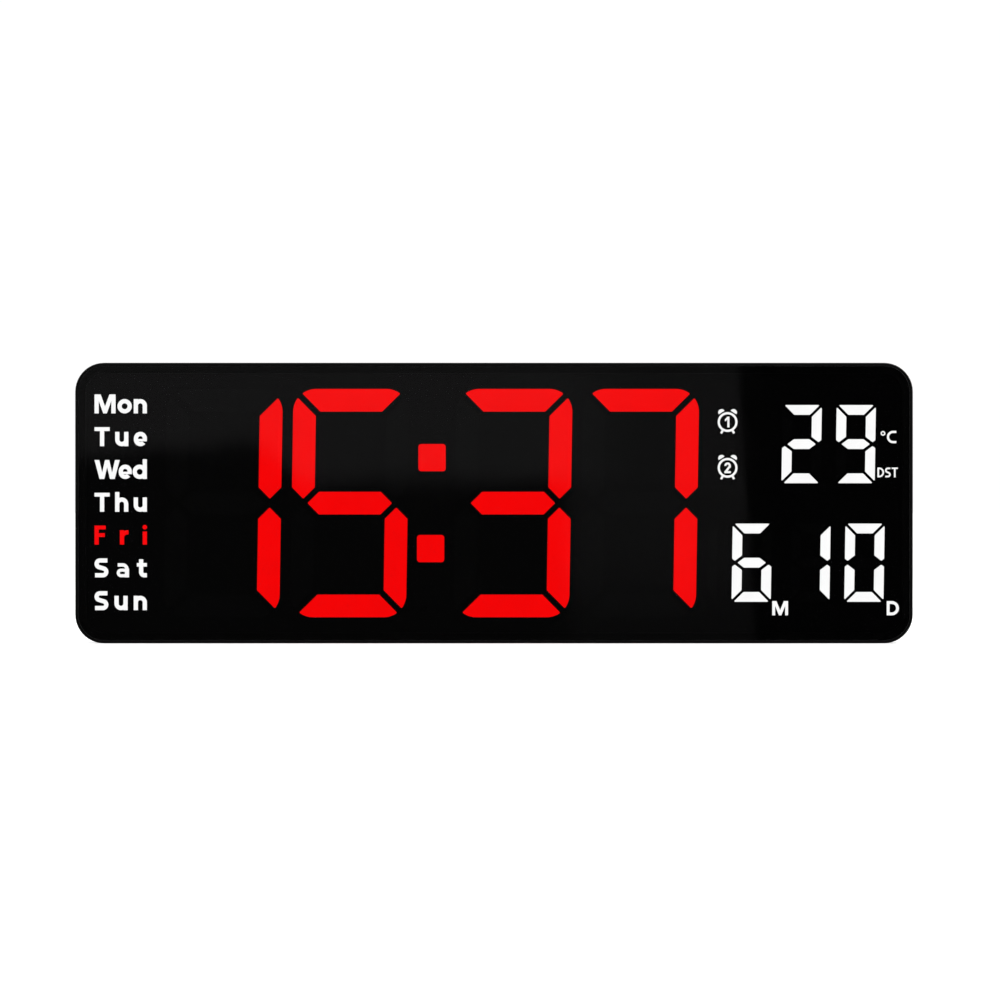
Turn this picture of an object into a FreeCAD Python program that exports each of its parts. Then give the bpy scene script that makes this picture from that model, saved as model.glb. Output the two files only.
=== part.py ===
import FreeCAD, Part
import math
import os

# A large LED clock and round timer for a gym wall or shelf. X runs to the viewer's right, Y to the rear and
# Z up, from the middle of the base. All sizes are in millimetres.

V = FreeCAD.Vector

# ---------------------------------------------------------------- driving dimensions
CASE_W, CASE_H, CASE_D = 406.0, 136.0, 28.0
CORNER_R = 14.0
WALL = 2.0
Y_FRONT, Y_BACK = -CASE_D / 2, CASE_D / 2
MID_Z = CASE_H / 2

# The stack behind the glass, from front to rear.
PANEL_T = 2.0
PANEL_INSET = 1.5            # from the case outline to the panel's edge
PANEL_CHAMFER = 0.35
RIM_SETBACK = 0.4            # the case rim stands this far behind the panel's face
TAPE_T = 0.5
LEDGE_T = 2.0
LEDGE_INSET = 5.0            # from the case outline to the ledge's opening
MASK_GAP = 0.15              # air between the panel and the mask
MASK_T = 0.8
DIFFUSER_T = 0.5
LIGHT_BOX_D = 8.0
LIGHT_BOX_W, LIGHT_BOX_H, LIGHT_BOX_R = 394.0, 114.0, 6.0
WEB_T = 1.2                  # the light box's front web
BOARD_T = 1.6
BOARD_W = 392.0
SLIP = 0.2                   # clearance round a piece that drops into another
MOVING_GAP = 0.3             # clearance round a piece that moves, apart from its hinge pin

Y_PANEL = Y_FRONT + PANEL_T
Y_WINDOW = Y_PANEL + MASK_GAP
Y_MASK = Y_WINDOW + MASK_T
Y_DIFFUSER = Y_MASK + DIFFUSER_T
Y_BOX = Y_DIFFUSER + LIGHT_BOX_D
Y_BOARD = Y_BOX + BOARD_T
Y_LEDGE = Y_PANEL + TAPE_T

# The parting line and the rear shell.
Y_FRAME_END = 1.0
SHADOW_GAP = 0.4             # the groove that shows between the two shells
LIP_T, LIP_L = 1.0, 2.0
BACK_T = 2.0
Y_INSIDE = Y_BACK - BACK_T
BACK_EDGE_R = 4.0
POCKET_WALL = 1.4

# Case screws.
SCREW_X = (-186.0, -62.0, 62.0, 186.0)
SCREW_Z = (7.0, CASE_H - 7.0)
SCREW_R, SCREW_HEAD_R, SCREW_HEAD_T, SCREW_L = 1.3, 2.6, 1.8, 12.0
BOSS_R, HEAD_BORE_R, HEAD_SEAT_Y = 3.5, 3.0, 5.0

# Seven-segment digits: height, width, stroke, gap, outer corner, then the mid joint's tip share and slope.
SLANT = math.tan(math.radians(0.9))
TIME_DIGIT = dict(height=110.7, width=56.2, stroke=11.0, gap=3.0, corner=11.0, tip=0.5, slope=1.0, soft=0.5)
SMALL_DIGIT = dict(height=37.9, width=19.0, stroke=4.75, gap=1.35, corner=1.8, tip=0.28, slope=0.75, soft=0.3)
TIME_PITCH, COLON_PITCH = 61.4, 79.1     # inside a pair of digits, and across the colon
TIME_X, TIME_Z = -30.4, 68.0             # the colon's centre
DOT_SIZE, DOT_R, DOT_OFFSET = 13.2, 1.4, 22.05
SMALL_PITCH = 26.2
TEMP_X, TEMP_Z = 175.35, 96.6            # the centre of the temperature's units digit
DATE_X, DATE_Z = 179.6, 39.1             # the centre of the day's units digit
MONTH_X = 124.95                         # the centre of the month's units digit

# Which segments glow: the display reads 15:37, 29 degrees, month 6 and day 10.
GLOWING = {"0": "abcdef", "1": "bc", "2": "abdeg", "3": "abcdg", "5": "acdfg", "6": "acdefg", "7": "abc",
           "9": "abcdfg"}

# Legends.
WEEKDAYS = ("Mon", "Tue", "Wed", "Thu", "Fri", "Sat", "Sun")
TODAY = "Fri"
WEEKDAY_X, WEEKDAY_W = -193.7, 25.4      # the column's left edge and its width
WEEKDAY_TOP_BASE, WEEKDAY_PITCH = 111.5, 15.9
CAP_H, STROKE_W = 9.2, 2.05
KERN = {"We": -0.9}            # how far a pair of letters is drawn together
ALARM_X, ALARM_Z, ALARM_PITCH = 113.25, 107.3, 22.2
ALARM_R, ALARM_STROKE = 4.8, 1.05

# Fold-out legs.
LEG_X = 150.0
LEG_W, LEG_TOP, LEG_T = 18.2, 66.0, 4.7
LEG_BARREL_R, LEG_PIN_R = 4.0, 1.25
LEG_AXIS_Y, LEG_AXIS_Z = 9.8, 4.2
LEG_BACK_Y = 13.7
PAD_W, PAD_L, PAD_T = 12.0, 12.0, 1.0
RECESS_W, RECESS_TOP = 19.2, 78.0

# Wall keyholes.
KEYHOLE_X, KEYHOLE_Z = 120.0, 104.0
KEYHOLE_R, KEYSLOT_R, KEYSLOT_L, KEYHOLE_D = 4.25, 2.2, 10.0, 6.0

# Coin cell bay.
CELL_X, CELL_Z = -95.0, 62.0
CELL_R, CELL_T = 10.0, 3.2
WELL_R, WELL_FLOOR_Y = 10.6, 8.0
DOOR_W, DOOR_H, DOOR_T = 34.0, 30.0, 1.6
DOOR_PIN_R = 0.7

# Buttons.
BUTTON_X, BUTTON_Z, BUTTON_PITCH = 95.0, 62.0, 16.0
BUTTONS = ("down", "up", "set")
CAP_R, CAP_FLANGE_R, CAP_STEM_R = 4.4, 5.4, 2.0
DISH_H, DISH_D = 15.0, 1.4
SWITCH_SIDE, SWITCH_H, PLUNGER_R = 6.0, 3.5, 1.75
PLUNGER_TOP_Y = 6.1

# Power socket.
SOCKET_X, SOCKET_W, SOCKET_H = 0.0, 9.0, 11.0
SOCKET_AXIS_Y = Y_BOARD + 6.5
PLUG_POCKET_W, PLUG_POCKET_TOP, PLUG_POCKET_Y = 14.0, 36.0, 0.3
SOCKET_NOSE_R, SOCKET_BORE_R, SOCKET_PIN_R, SOCKET_DEPTH = 4.0, 2.8, 1.0, 9.5

# Sounder and sensors.
BUZZER_X, BUZZER_Z, BUZZER_R, BUZZER_H = 48.0, 40.0, 6.0, 8.0
SENSOR_X, SENSOR_Z = -184.0, 64.0
EYE_Z = 17.0                             # the receiver and the light sensor look out below the colon
RECEIVER_X, LIGHT_SENSOR_X = -34.0, -27.0


# ---------------------------------------------------------------- shapes
def outline(points, radii=0.0):
    """A closed wire in the XZ plane through (x, z) corners, each rounded by its radius."""
    count = len(points)
    if not hasattr(radii, "__len__"):
        radii = [radii] * count
    corners = []
    for i, (point, r) in enumerate(zip(points, radii)):
        here = V(point[0], 0, point[1])
        if r <= 0:
            corners.append((here, None, here))
            continue
        back = V(points[i - 1][0], 0, points[i - 1][1]) - here
        on = V(points[(i + 1) % count][0], 0, points[(i + 1) % count][1]) - here
        back.normalize()
        on.normalize()
        half = back.getAngle(on) / 2
        way = back + on
        way.normalize()
        centre = here + way * (r / math.sin(half))
        reach = r / math.tan(half)
        corners.append((here + back * reach, centre - way * r, here + on * reach))
    edges = []
    for i, (start, middle, end) in enumerate(corners):
        if middle is not None:
            edges.append(Part.Arc(start, middle, end).toShape())
        following = corners[(i + 1) % count][0]
        if end.distanceToPoint(following) > 1e-6:
            edges.append(Part.makeLine(end, following))
    return Part.Wire(edges)


def prism(points, y0, y1, radii=0.0):
    """A solid from y0 to y1 over an outline in the XZ plane."""
    face = Part.Face(outline(points, radii))
    face.translate(V(0, y0, 0))
    return face.extrude(V(0, y1 - y0, 0))


def slab(width, height, radius, y0, y1, x=0.0, z=MID_Z):
    """A rounded rectangle, centred at x, z."""
    w, h = width / 2, height / 2
    return prism([(x - w, z - h), (x + w, z - h), (x + w, z + h), (x - w, z + h)], y0, y1, radius)


def inset_slab(inset, y0, y1):
    """The case outline drawn in by inset, with concentric corners."""
    return slab(CASE_W - 2 * inset, CASE_H - 2 * inset, CORNER_R - inset, y0, y1)


def box(x0, x1, y0, y1, z0, z1):
    return Part.makeBox(x1 - x0, y1 - y0, z1 - z0, V(x0, y0, z0))


def rod(x, z, radius, y0, y1):
    """A cylinder along Y."""
    return Part.makeCylinder(radius, y1 - y0, V(x, y0, z), V(0, 1, 0))


def rod_x(y, z, radius, x0, x1):
    """A cylinder along X."""
    return Part.makeCylinder(radius, x1 - x0, V(x0, y, z), V(1, 0, 0))


def rod_z(x, y, radius, z0, z1):
    """A cylinder along Z."""
    return Part.makeCylinder(radius, z1 - z0, V(x, y, z0), V(0, 0, 1))


def square(x, z, side, radius, y0, y1):
    """A square prism with round corners, centred at x, z."""
    return slab(side, side, radius, y0, y1, x, z)


def edges_at(shape, y):
    """The shape's edges that lie in the plane Y = y."""
    return [e for e in shape.Edges if all(abs(v.Y - y) < 1e-6 for v in e.Vertexes)]


def fused(shapes):
    shapes = list(shapes)
    return shapes[0].fuse(shapes[1:]).removeSplitter() if len(shapes) > 1 else shapes[0]


def group(shapes):
    return Part.makeCompound([s for shape in shapes for s in shape.Solids])


def save(name, shape):
    os.makedirs("parts", exist_ok=True)
    for i, solid in enumerate(shape.Solids):
        if not solid.isValid() or solid.Volume <= 0:
            print("CHECK", name, "solid", i, "valid", solid.isValid(), "volume", solid.Volume)
    if shape.ShapeType != "Compound" or len(shape.Solids) == 1:
        shape = shape.Solids[0]
    shape.exportStep("parts/" + name + ".step")


# ---------------------------------------------------------------- seven-segment digits
def softened(face, radius):
    """The face with its outward corners rounded."""
    return face.makeOffset2D(-radius).makeOffset2D(radius)


def digit_faces(x, z, height, width, stroke, gap, corner, tip, slope, soft, wanted="abcdefg"):
    """The segments' faces in the plane Y = 0, by letter, leaning by SLANT about the digit's centre."""
    w, h, t = width / 2, height / 2, stroke
    cut = gap / math.sqrt(2)                   # how far a corner cut stands off the corner's diagonal
    apart = gap / math.sqrt(2)                 # from the mid line to a vertical segment's tip
    joint = -w + t * tip + apart / slope       # the middle segment's tip
    across = [(-w + cut, h), (w - cut, h), (w - t - cut, h - t), (-w + t + cut, h - t)]
    upright = [(-w, h - cut), (-w + t, h - t - cut), (-w + t, apart + (1 - tip) * t * slope),
               (-w + tip * t, apart), (-w, apart + tip * t * slope)]
    bar_end = joint + t / 2 / slope
    middle = [(joint, 0), (bar_end, t / 2), (-bar_end, t / 2),
              (-joint, 0), (-bar_end, -t / 2), (bar_end, -t / 2)]
    shapes = {
        "a": across,
        "b": [(-u, v) for u, v in upright],
        "c": [(-u, -v) for u, v in upright],
        "d": [(u, -v) for u, v in across],
        "e": [(u, -v) for u, v in upright],
        "f": upright,
        "g": middle,
    }

    def lean(u, v):
        return x + u + SLANT * v, z + v

    bounds = Part.Face(outline([lean(-w, -h), lean(w, -h), lean(w, h), lean(-w, h)], corner))
    faces = {}
    for letter in wanted:
        face = Part.Face(outline([lean(u, v) for u, v in shapes[letter]]))
        clipped = face.common(bounds).Faces[0]
        faces[letter] = softened(clipped, soft)
    return faces


def window(face, y0=Y_WINDOW, y1=Y_MASK):
    """A solid over a face drawn in the plane Y = 0."""
    moved = face.copy()
    moved.translate(V(0, y0, 0))
    return moved.extrude(V(0, y1 - y0, 0))


# Every digit of the display: its style, centre, the segments it has and the figure it shows.
DISPLAY = {
    "hour_tens": (TIME_DIGIT, TIME_X - COLON_PITCH / 2 - TIME_PITCH, TIME_Z, "abcdefg", "1"),
    "hour_units": (TIME_DIGIT, TIME_X - COLON_PITCH / 2, TIME_Z, "abcdefg", "5"),
    "minute_tens": (TIME_DIGIT, TIME_X + COLON_PITCH / 2, TIME_Z, "abcdefg", "3"),
    "minute_units": (TIME_DIGIT, TIME_X + COLON_PITCH / 2 + TIME_PITCH, TIME_Z, "abcdefg", "7"),
    "temperature_tens": (SMALL_DIGIT, TEMP_X - SMALL_PITCH, TEMP_Z, "abcdefg", "2"),
    "temperature_units": (SMALL_DIGIT, TEMP_X, TEMP_Z, "abcdefg", "9"),
    "month_tens": (SMALL_DIGIT, MONTH_X - SMALL_PITCH, DATE_Z, "bc", ""),
    "month_units": (SMALL_DIGIT, MONTH_X, DATE_Z, "abcdefg", "6"),
    "day_tens": (SMALL_DIGIT, DATE_X - SMALL_PITCH, DATE_Z, "abcdefg", "1"),
    "day_units": (SMALL_DIGIT, DATE_X, DATE_Z, "abcdefg", "0"),
}


def display_faces():
    """{digit: {segment: face}} for the whole display."""
    return {name: digit_faces(x, z, wanted=has, **style) for name, (style, x, z, has, _) in DISPLAY.items()}


def is_lit(name, letter):
    shows = DISPLAY[name][4]
    return bool(shows) and letter in GLOWING[shows]


def colon_faces():
    """Two square dots with round corners, on the display's slant."""
    faces = []
    for side in (-1, 1):
        x, z, s = TIME_X + side * DOT_OFFSET * SLANT, TIME_Z + side * DOT_OFFSET, DOT_SIZE / 2
        corners = [(x - s, z - s), (x + s, z - s), (x + s, z + s), (x - s, z + s)]
        faces.append(Part.Face(outline(corners, DOT_R)))
    return faces


# ---------------------------------------------------------------- lettering
def bar(start, end, width):
    """A flat-ended bar's face between two (x, z) points."""
    a, b = V(start[0], 0, start[1]), V(end[0], 0, end[1])
    along = b - a
    along.normalize()
    side = V(-along.z, 0, along.x) * (width / 2)
    corners = [a + side, b + side, b - side, a - side]
    return Part.Face(outline([(p.x, p.z) for p in corners]))


def bow(x, z, radius, width, start, end):
    """A ring's sector about (x, z), on its middle radius, between two angles in degrees, anticlockwise."""
    outer, inner = radius + width / 2, radius - width / 2

    def at(r, angle):
        return V(x + r * math.cos(math.radians(angle)), 0, z + r * math.sin(math.radians(angle)))

    middle = (start + end) / 2
    return Part.Face(Part.Wire([
        Part.Arc(at(outer, start), at(outer, middle), at(outer, end)).toShape(),
        Part.makeLine(at(outer, end), at(inner, end)),
        Part.Arc(at(inner, end), at(inner, middle), at(inner, start)).toShape(),
        Part.makeLine(at(inner, start), at(outer, start)),
    ]))


def ring(x, z, radius, width):
    outer = Part.Face(Part.Wire(Part.makeCircle(radius + width / 2, V(x, 0, z), V(0, 1, 0))))
    inner = Part.Face(Part.Wire(Part.makeCircle(radius - width / 2, V(x, 0, z), V(0, 1, 0))))
    return outer.cut(inner).Faces[0]


def disc(x, z, radius):
    return Part.Face(Part.Wire(Part.makeCircle(radius, V(x, 0, z), V(0, 1, 0))))


def dome(x, z, away, radius, way):
    """A half disc whose flat side is away from (x, z) and square to that direction, given in degrees."""
    out = V(math.cos(math.radians(way)), 0, math.sin(math.radians(way)))
    side = V(-out.z, 0, out.x) * radius
    centre = V(x, 0, z) + out * away
    arc = Part.Arc(centre + side, centre + out * radius, centre - side).toShape()
    return Part.Face(Part.Wire([arc, Part.makeLine(centre - side, centre + side)]))


def pen(points, width, radius):
    """A pen stroke along (x, z) points: bars on the runs, and a bow of that middle radius at each corner."""
    faces, start = [], points[0]
    for before, here, after in zip(points, points[1:], points[2:]):
        corner = V(here[0], 0, here[1])
        back, on = V(before[0], 0, before[1]) - corner, V(after[0], 0, after[1]) - corner
        back.normalize()
        on.normalize()
        half = back.getAngle(on) / 2
        way = back + on
        way.normalize()
        centre = corner + way * (radius / math.sin(half))
        first, last = corner + back * (radius / math.tan(half)), corner + on * (radius / math.tan(half))
        if math.dist(start, (first.x, first.z)) > 1e-3:
            faces.append(bar(start, (first.x, first.z), width))
        angles = [math.degrees(math.atan2(p.z - centre.z, p.x - centre.x)) for p in (first, last)]
        turn = (angles[1] - angles[0]) % 360
        if turn > 180:
            angles = [angles[1], angles[0]]
            turn = 360 - turn
        faces.append(bow(centre.x, centre.z, radius, width, angles[0], angles[0] + turn))
        start = (last.x, last.z)
    if math.dist(start, points[-1]) > 1e-3:
        faces.append(bar(start, points[-1], width))
    return faces


def letter(sign, cap, w, ease=1.0):
    """(faces, width) of a bold upright letter on the baseline, for a cap height and a pen width.

    Capitals are drawn ease times their usual width.
    """
    low = 0.755 * cap                     # the height of a small letter
    hw = w / 2

    def arch(width, height, legs_up):
        """Two stems joined by a half ring, at the top or at the bottom."""
        near, far = (0, height - hw) if not legs_up else (height, hw)
        return pen([(hw, near), (hw, far), (width - hw, far), (width - hw, near)], w, (width - w) / 2 - 1e-3)

    if sign == "M":
        wide = 1.11 * ease * cap
        c = wide / 2
        top, foot = 1.45 * w, 0.42 * w
        points = [(0, 0), (0, cap), (top, cap), (c, 0.36 * cap), (wide - top, cap), (wide, cap),
                  (wide, 0), (wide - w, 0), (wide - w, 0.66 * cap), (c + foot, 0), (c - foot, 0),
                  (w, 0.66 * cap), (w, 0)]
        return [Part.Face(outline(points))], wide
    if sign == "W":
        wide = 1.33 * ease * cap
        c, low_x, arm = wide / 2, 0.2 * wide, 1.12 * w
        crook = low_x + arm / 2
        points = [(0, cap), (arm, cap), (crook + 0.06 * w, 0.34 * cap), (c - hw, cap), (c + hw, cap),
                  (wide - crook - 0.06 * w, 0.34 * cap), (wide - arm, cap), (wide, cap), (wide - low_x, 0),
                  (wide - low_x - arm, 0), (c, 0.62 * cap), (low_x + arm, 0), (low_x, 0)]
        return [Part.Face(outline(points))], wide
    if sign == "T":
        wide = 0.8 * ease * cap
        top = cap - 0.45 * w
        return [bar((0, top), (wide, top), 0.9 * w), bar((wide / 2, 0), (wide / 2, cap), w)], wide
    if sign == "F":
        wide = 0.59 * ease * cap
        return [bar((hw, 0), (hw, cap), w), bar((0, cap - 0.45 * w), (wide, cap - 0.45 * w), 0.9 * w),
                bar((0, 0.5 * cap), (0.92 * wide, 0.5 * cap), 0.9 * w)], wide
    if sign == "S":
        wide = 0.73 * ease * cap
        drop = 0.075 * cap                # how far the spine falls on each side of its middle
        turn = (math.pi / 2 + math.atan2(2 * drop, wide - w)) / 2
        bend = (cap / 2 - hw - drop) / (1 + 1 / math.tan(turn)) - 1e-3
        points = [(0.93 * wide, cap - hw), (hw, cap - hw), (hw, cap / 2 + drop), (wide - hw, cap / 2 - drop),
                  (wide - hw, hw), (0.04 * wide, hw)]
        return pen(points, w, bend), wide
    if sign == "C":
        wide = 0.76 * ease * cap
        return pen([(wide, cap - hw), (hw, cap - hw), (hw, hw), (wide, hw)], w, cap / 2 - hw - 1e-3), wide
    if sign == "D":
        wide = 0.86 * ease * cap
        bowl = [(0, cap - hw), (wide - hw, cap - hw), (wide - hw, hw), (0, hw)]
        return [bar((hw, 0), (hw, cap), w)] + pen(bowl, w, cap / 2 - hw - 1e-3), wide
    if sign == "o":
        return [ring(low / 2 * 1.02, low / 2, low / 2 - hw, w)], 1.02 * low
    if sign == "n":
        wide = 0.92 * low
        return [bar((hw, 0), (hw, low), w)] + arch(wide, low, False), wide
    if sign == "h":
        wide = 0.92 * low
        return [bar((hw, 0), (hw, 1.04 * cap), w)] + arch(wide, low, False), wide
    if sign == "u":
        wide = 0.92 * low
        return [bar((wide - hw, 0), (wide - hw, low), w)] + arch(wide, low, True), wide
    if sign == "e":
        wide = 0.91 * low
        c, r = wide / 2, wide / 2 - hw
        shelf, top = 0.42 * low, low - hw - r
        sides = [bar((hw, hw + r), (hw, top), w), bar((wide - hw, shelf), (wide - hw, top), w)]
        bows = [bow(c, top, r, w, 0, 180), bow(c, hw + r, r, w, 180, 318)]
        return bows + sides + [bar((hw, shelf), (wide, shelf), 0.56 * w)], wide
    if sign == "d":
        wide = 1.0 * low
        stem = bar((wide - hw, 0), (wide - hw, 1.04 * cap), w)
        return [ring(low / 2, low / 2, low / 2 - hw, w), stem], wide
    if sign == "r":
        wide = 0.6 * low
        arm = [(hw, 0.3 * low), (hw, low - hw), (wide, low - hw)]
        return [bar((hw, 0), (hw, low), w)] + pen(arm, w, 0.36 * low), wide
    if sign == "i":
        return [bar((hw, 0), (hw, 0.91 * low), w), disc(hw, 0.915 * cap, 0.53 * w)], w
    if sign == "t":
        wide = 0.7 * low
        stem = 0.30 * wide + hw * 0.6
        return pen([(stem, 0.95 * cap), (stem, hw), (wide, hw)], w, 0.75 * w) + \
            [bar((0, low - 0.42 * w), (wide, low - 0.42 * w), 0.84 * w)], wide
    if sign == "a":
        wide = 0.9 * low
        shelf = 0.62 * low                # the top of the lower bowl
        bend = (shelf - 0.8 * w) / 2 - 1e-3
        right, top = wide - hw, low - 0.45 * w
        upper = pen([(0.12 * wide, top), (right, top), (right, 0)], 0.8 * w, 0.30 * low)
        bowl = [(right, shelf - 0.4 * w), (hw, shelf - 0.4 * w), (hw, 0.4 * w), (right, 0.4 * w)]
        return upper + pen(bowl, 0.72 * w, bend) + [bar((right, 0), (right, 0.6 * low), w)], wide
    if sign == "1":
        wide = 0.44 * cap
        flag = [(0, 0.72 * cap), (wide - w, cap), (wide, cap), (wide, 0.9 * cap), (0.1 * wide, 0.55 * cap)]
        return [bar((wide - hw, 0), (wide - hw, cap), w), Part.Face(outline(flag))], wide + 0.5 * w
    if sign == "2":
        wide = 0.6 * cap
        bend = (wide - w) / 2 - 1e-3
        hook = [(hw, 0.68 * cap), (hw, cap - hw), (wide - hw, cap - hw), (wide - hw, 0.5 * cap)]
        diagonal = bar((wide - 0.62 * w, 0.62 * cap), (0.62 * w, 0.12 * cap), w)
        return pen(hook, w, bend) + [diagonal, bar((0, hw), (wide, hw), w)], wide
    raise ValueError(sign)


def lettering(word, x, z, cap, pen_width, width=None, gap=0.22, ease=1.0):
    """The word's solids in the mask. With a width, its letters are spread evenly to fill it."""
    made = [letter(sign, cap, pen_width, ease) for sign in word]
    kerns = [KERN.get(word[i:i + 2], 0.0) for i in range(len(word))]
    space = gap * cap
    if width is not None:
        space = (width - sum(wide for _, wide in made) - sum(kerns)) / (len(word) - 1)
    solids = []
    for (faces, wide), kern in zip(made, kerns):
        solid = fused(window(face) for face in faces)
        solid.translate(V(x, 0, z))
        solids.append(solid)
        x += wide + space + kern
    return solids


def weekday_rows():
    """{weekday: the solids of its three letters}, from the top row down."""
    return {day: lettering(day, WEEKDAY_X, WEEKDAY_TOP_BASE - i * WEEKDAY_PITCH, CAP_H, STROKE_W, WEEKDAY_W)
            for i, day in enumerate(WEEKDAYS)}


def alarm_icon(number, z):
    """A twin-bell alarm clock: its rim, two bells, two feet and a number."""
    figure_h, figure_w = 5.2, 1.0
    bell_r, bell_away, bell_way, foot_way = 1.65, ALARM_R + 0.65, 32, 60
    parts = [ring(ALARM_X, z, ALARM_R - ALARM_STROKE / 2, ALARM_STROKE)]
    for side in (-1, 1):
        across, down = side * math.cos(math.radians(foot_way)), math.sin(math.radians(foot_way))
        near, far = 0.92 * ALARM_R, 1.32 * ALARM_R
        foot = (ALARM_X + far * across, z - far * down)
        parts.append(bar((ALARM_X + near * across, z - near * down), foot, ALARM_STROKE))
    solids = [fused(window(face) for face in parts)]
    for side in (-1, 1):
        solids.append(window(dome(ALARM_X, z, bell_away, bell_r, 90 - side * bell_way)))
    faces, wide = letter(number, figure_h, figure_w)
    figure = fused(window(face) for face in faces)
    figure.translate(V(ALARM_X - wide / 2, 0, z - figure_h / 2))
    return solids + [figure]


def unit_legends():
    """The degree sign with C, DST, M and D beside the small digits."""
    degree_x, degree_z, unit_h = 188.6, 101.8, 6.0
    solids = [window(ring(degree_x, degree_z, 0.85, 0.6))]
    solids += lettering("C", degree_x + 1.9, degree_z - unit_h + 1.25, unit_h, 1.05)
    solids += lettering("DST", 185.9, 80.5, 4.75, 0.8, 9.9, ease=0.79)
    solids += lettering("M", 134.9, 13.6, 6.9, 1.4)
    solids += lettering("D", 190.4, 13.6, 6.9, 1.4)
    return solids


# ---------------------------------------------------------------- front pieces
def front_panel():
    """The smoked sheet: its front edge is chamfered."""
    sheet = inset_slab(PANEL_INSET, Y_FRONT, Y_PANEL)
    return sheet.makeChamfer(PANEL_CHAMFER, edges_at(sheet, Y_FRONT))


def panel_tape():
    """A frame of double-sided tape between the panel and the case ledge."""
    opening = inset_slab(LEDGE_INSET - 0.2, Y_PANEL - 1, Y_LEDGE + 1)
    return inset_slab(WALL - 0.1, Y_PANEL, Y_LEDGE).cut(opening)


def front_frame():
    """The front shell: outer wall, panel seat, ledge and screw bosses."""
    y_rim = Y_FRONT + RIM_SETBACK
    shell = inset_slab(0, y_rim, Y_FRAME_END)
    shell = shell.makeFillet(0.8, edges_at(shell, y_rim))
    shell = shell.cut(inset_slab(PANEL_INSET - SLIP / 2, y_rim - 1, Y_LEDGE))
    shell = shell.cut(inset_slab(LEDGE_INSET, Y_LEDGE - 1, Y_LEDGE + LEDGE_T + 1))
    shell = shell.cut(inset_slab(WALL, Y_LEDGE + LEDGE_T, Y_FRAME_END + 1))
    pilots = []
    for x in SCREW_X:
        for z in SCREW_Z:
            pilots.append(rod(x, z, SCREW_R, Y_FRAME_END - SCREW_L + 3.0, Y_FRAME_END + 1))
            edge = 0 if z < MID_Z else CASE_H
            rib_z = sorted([edge + math.copysign(WALL - 0.5, MID_Z - edge), z])
            boss = rod(x, z, BOSS_R, Y_LEDGE + LEDGE_T - 0.5, Y_FRAME_END)
            rib = box(x - BOSS_R, x + BOSS_R, Y_LEDGE + LEDGE_T - 0.5, Y_FRAME_END, *rib_z)
            shell = shell.fuse([boss, rib])
    return shell.cut(pilots).removeSplitter()


def mask_plate(windows):
    """The black plate behind the panel, with an opening for every window and the two eyes."""
    w, h = CASE_W - 2 * LEDGE_INSET - 2 * SLIP, CASE_H - 2 * LEDGE_INSET - 2 * SLIP
    plate = slab(w, h, CORNER_R - LEDGE_INSET - SLIP, Y_WINDOW, Y_MASK)
    eyes = [rod(x, EYE_Z, 1.6, Y_PANEL - 1, Y_MASK + 1) for x in (RECEIVER_X, LIGHT_SENSOR_X)]
    return plate.cut(windows + eyes)


def diffuser_sheet():
    """The milky sheet between the mask and the light box, with a hole for each eye."""
    w, h = CASE_W - 2 * LEDGE_INSET - 2 * SLIP, CASE_H - 2 * LEDGE_INSET - 2 * SLIP
    sheet = slab(w, h, CORNER_R - LEDGE_INSET - SLIP, Y_MASK, Y_DIFFUSER)
    return sheet.cut([rod(x, EYE_Z, 2.4, Y_MASK - 1, Y_DIFFUSER + 1) for x in (RECEIVER_X, LIGHT_SENSOR_X)])


def legend_cells():
    """(x0, x1, z0, z1) of each lettering cell: seven weekdays, two alarms, and the four unit legends."""
    half = WEEKDAY_PITCH / 2 - 0.7
    cells = []
    for i in range(len(WEEKDAYS)):
        z = WEEKDAY_TOP_BASE - i * WEEKDAY_PITCH + CAP_H / 2
        cells.append((WEEKDAY_X - 0.9, WEEKDAY_X + WEEKDAY_W + 0.9, z - half, z + half))
    for z in (ALARM_Z, ALARM_Z - ALARM_PITCH):
        cells.append((ALARM_X - 7.0, ALARM_X + 7.0, z - 8.0, z + 8.0))
    return cells + [(187.0, 195.6, 96.0, 104.5), (186.9, 195.6, 79.5, 86.5), (136.4, 142.6, 12.7, 18.9),
                    (191.2, 195.6, 12.7, 21.5)]


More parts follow.
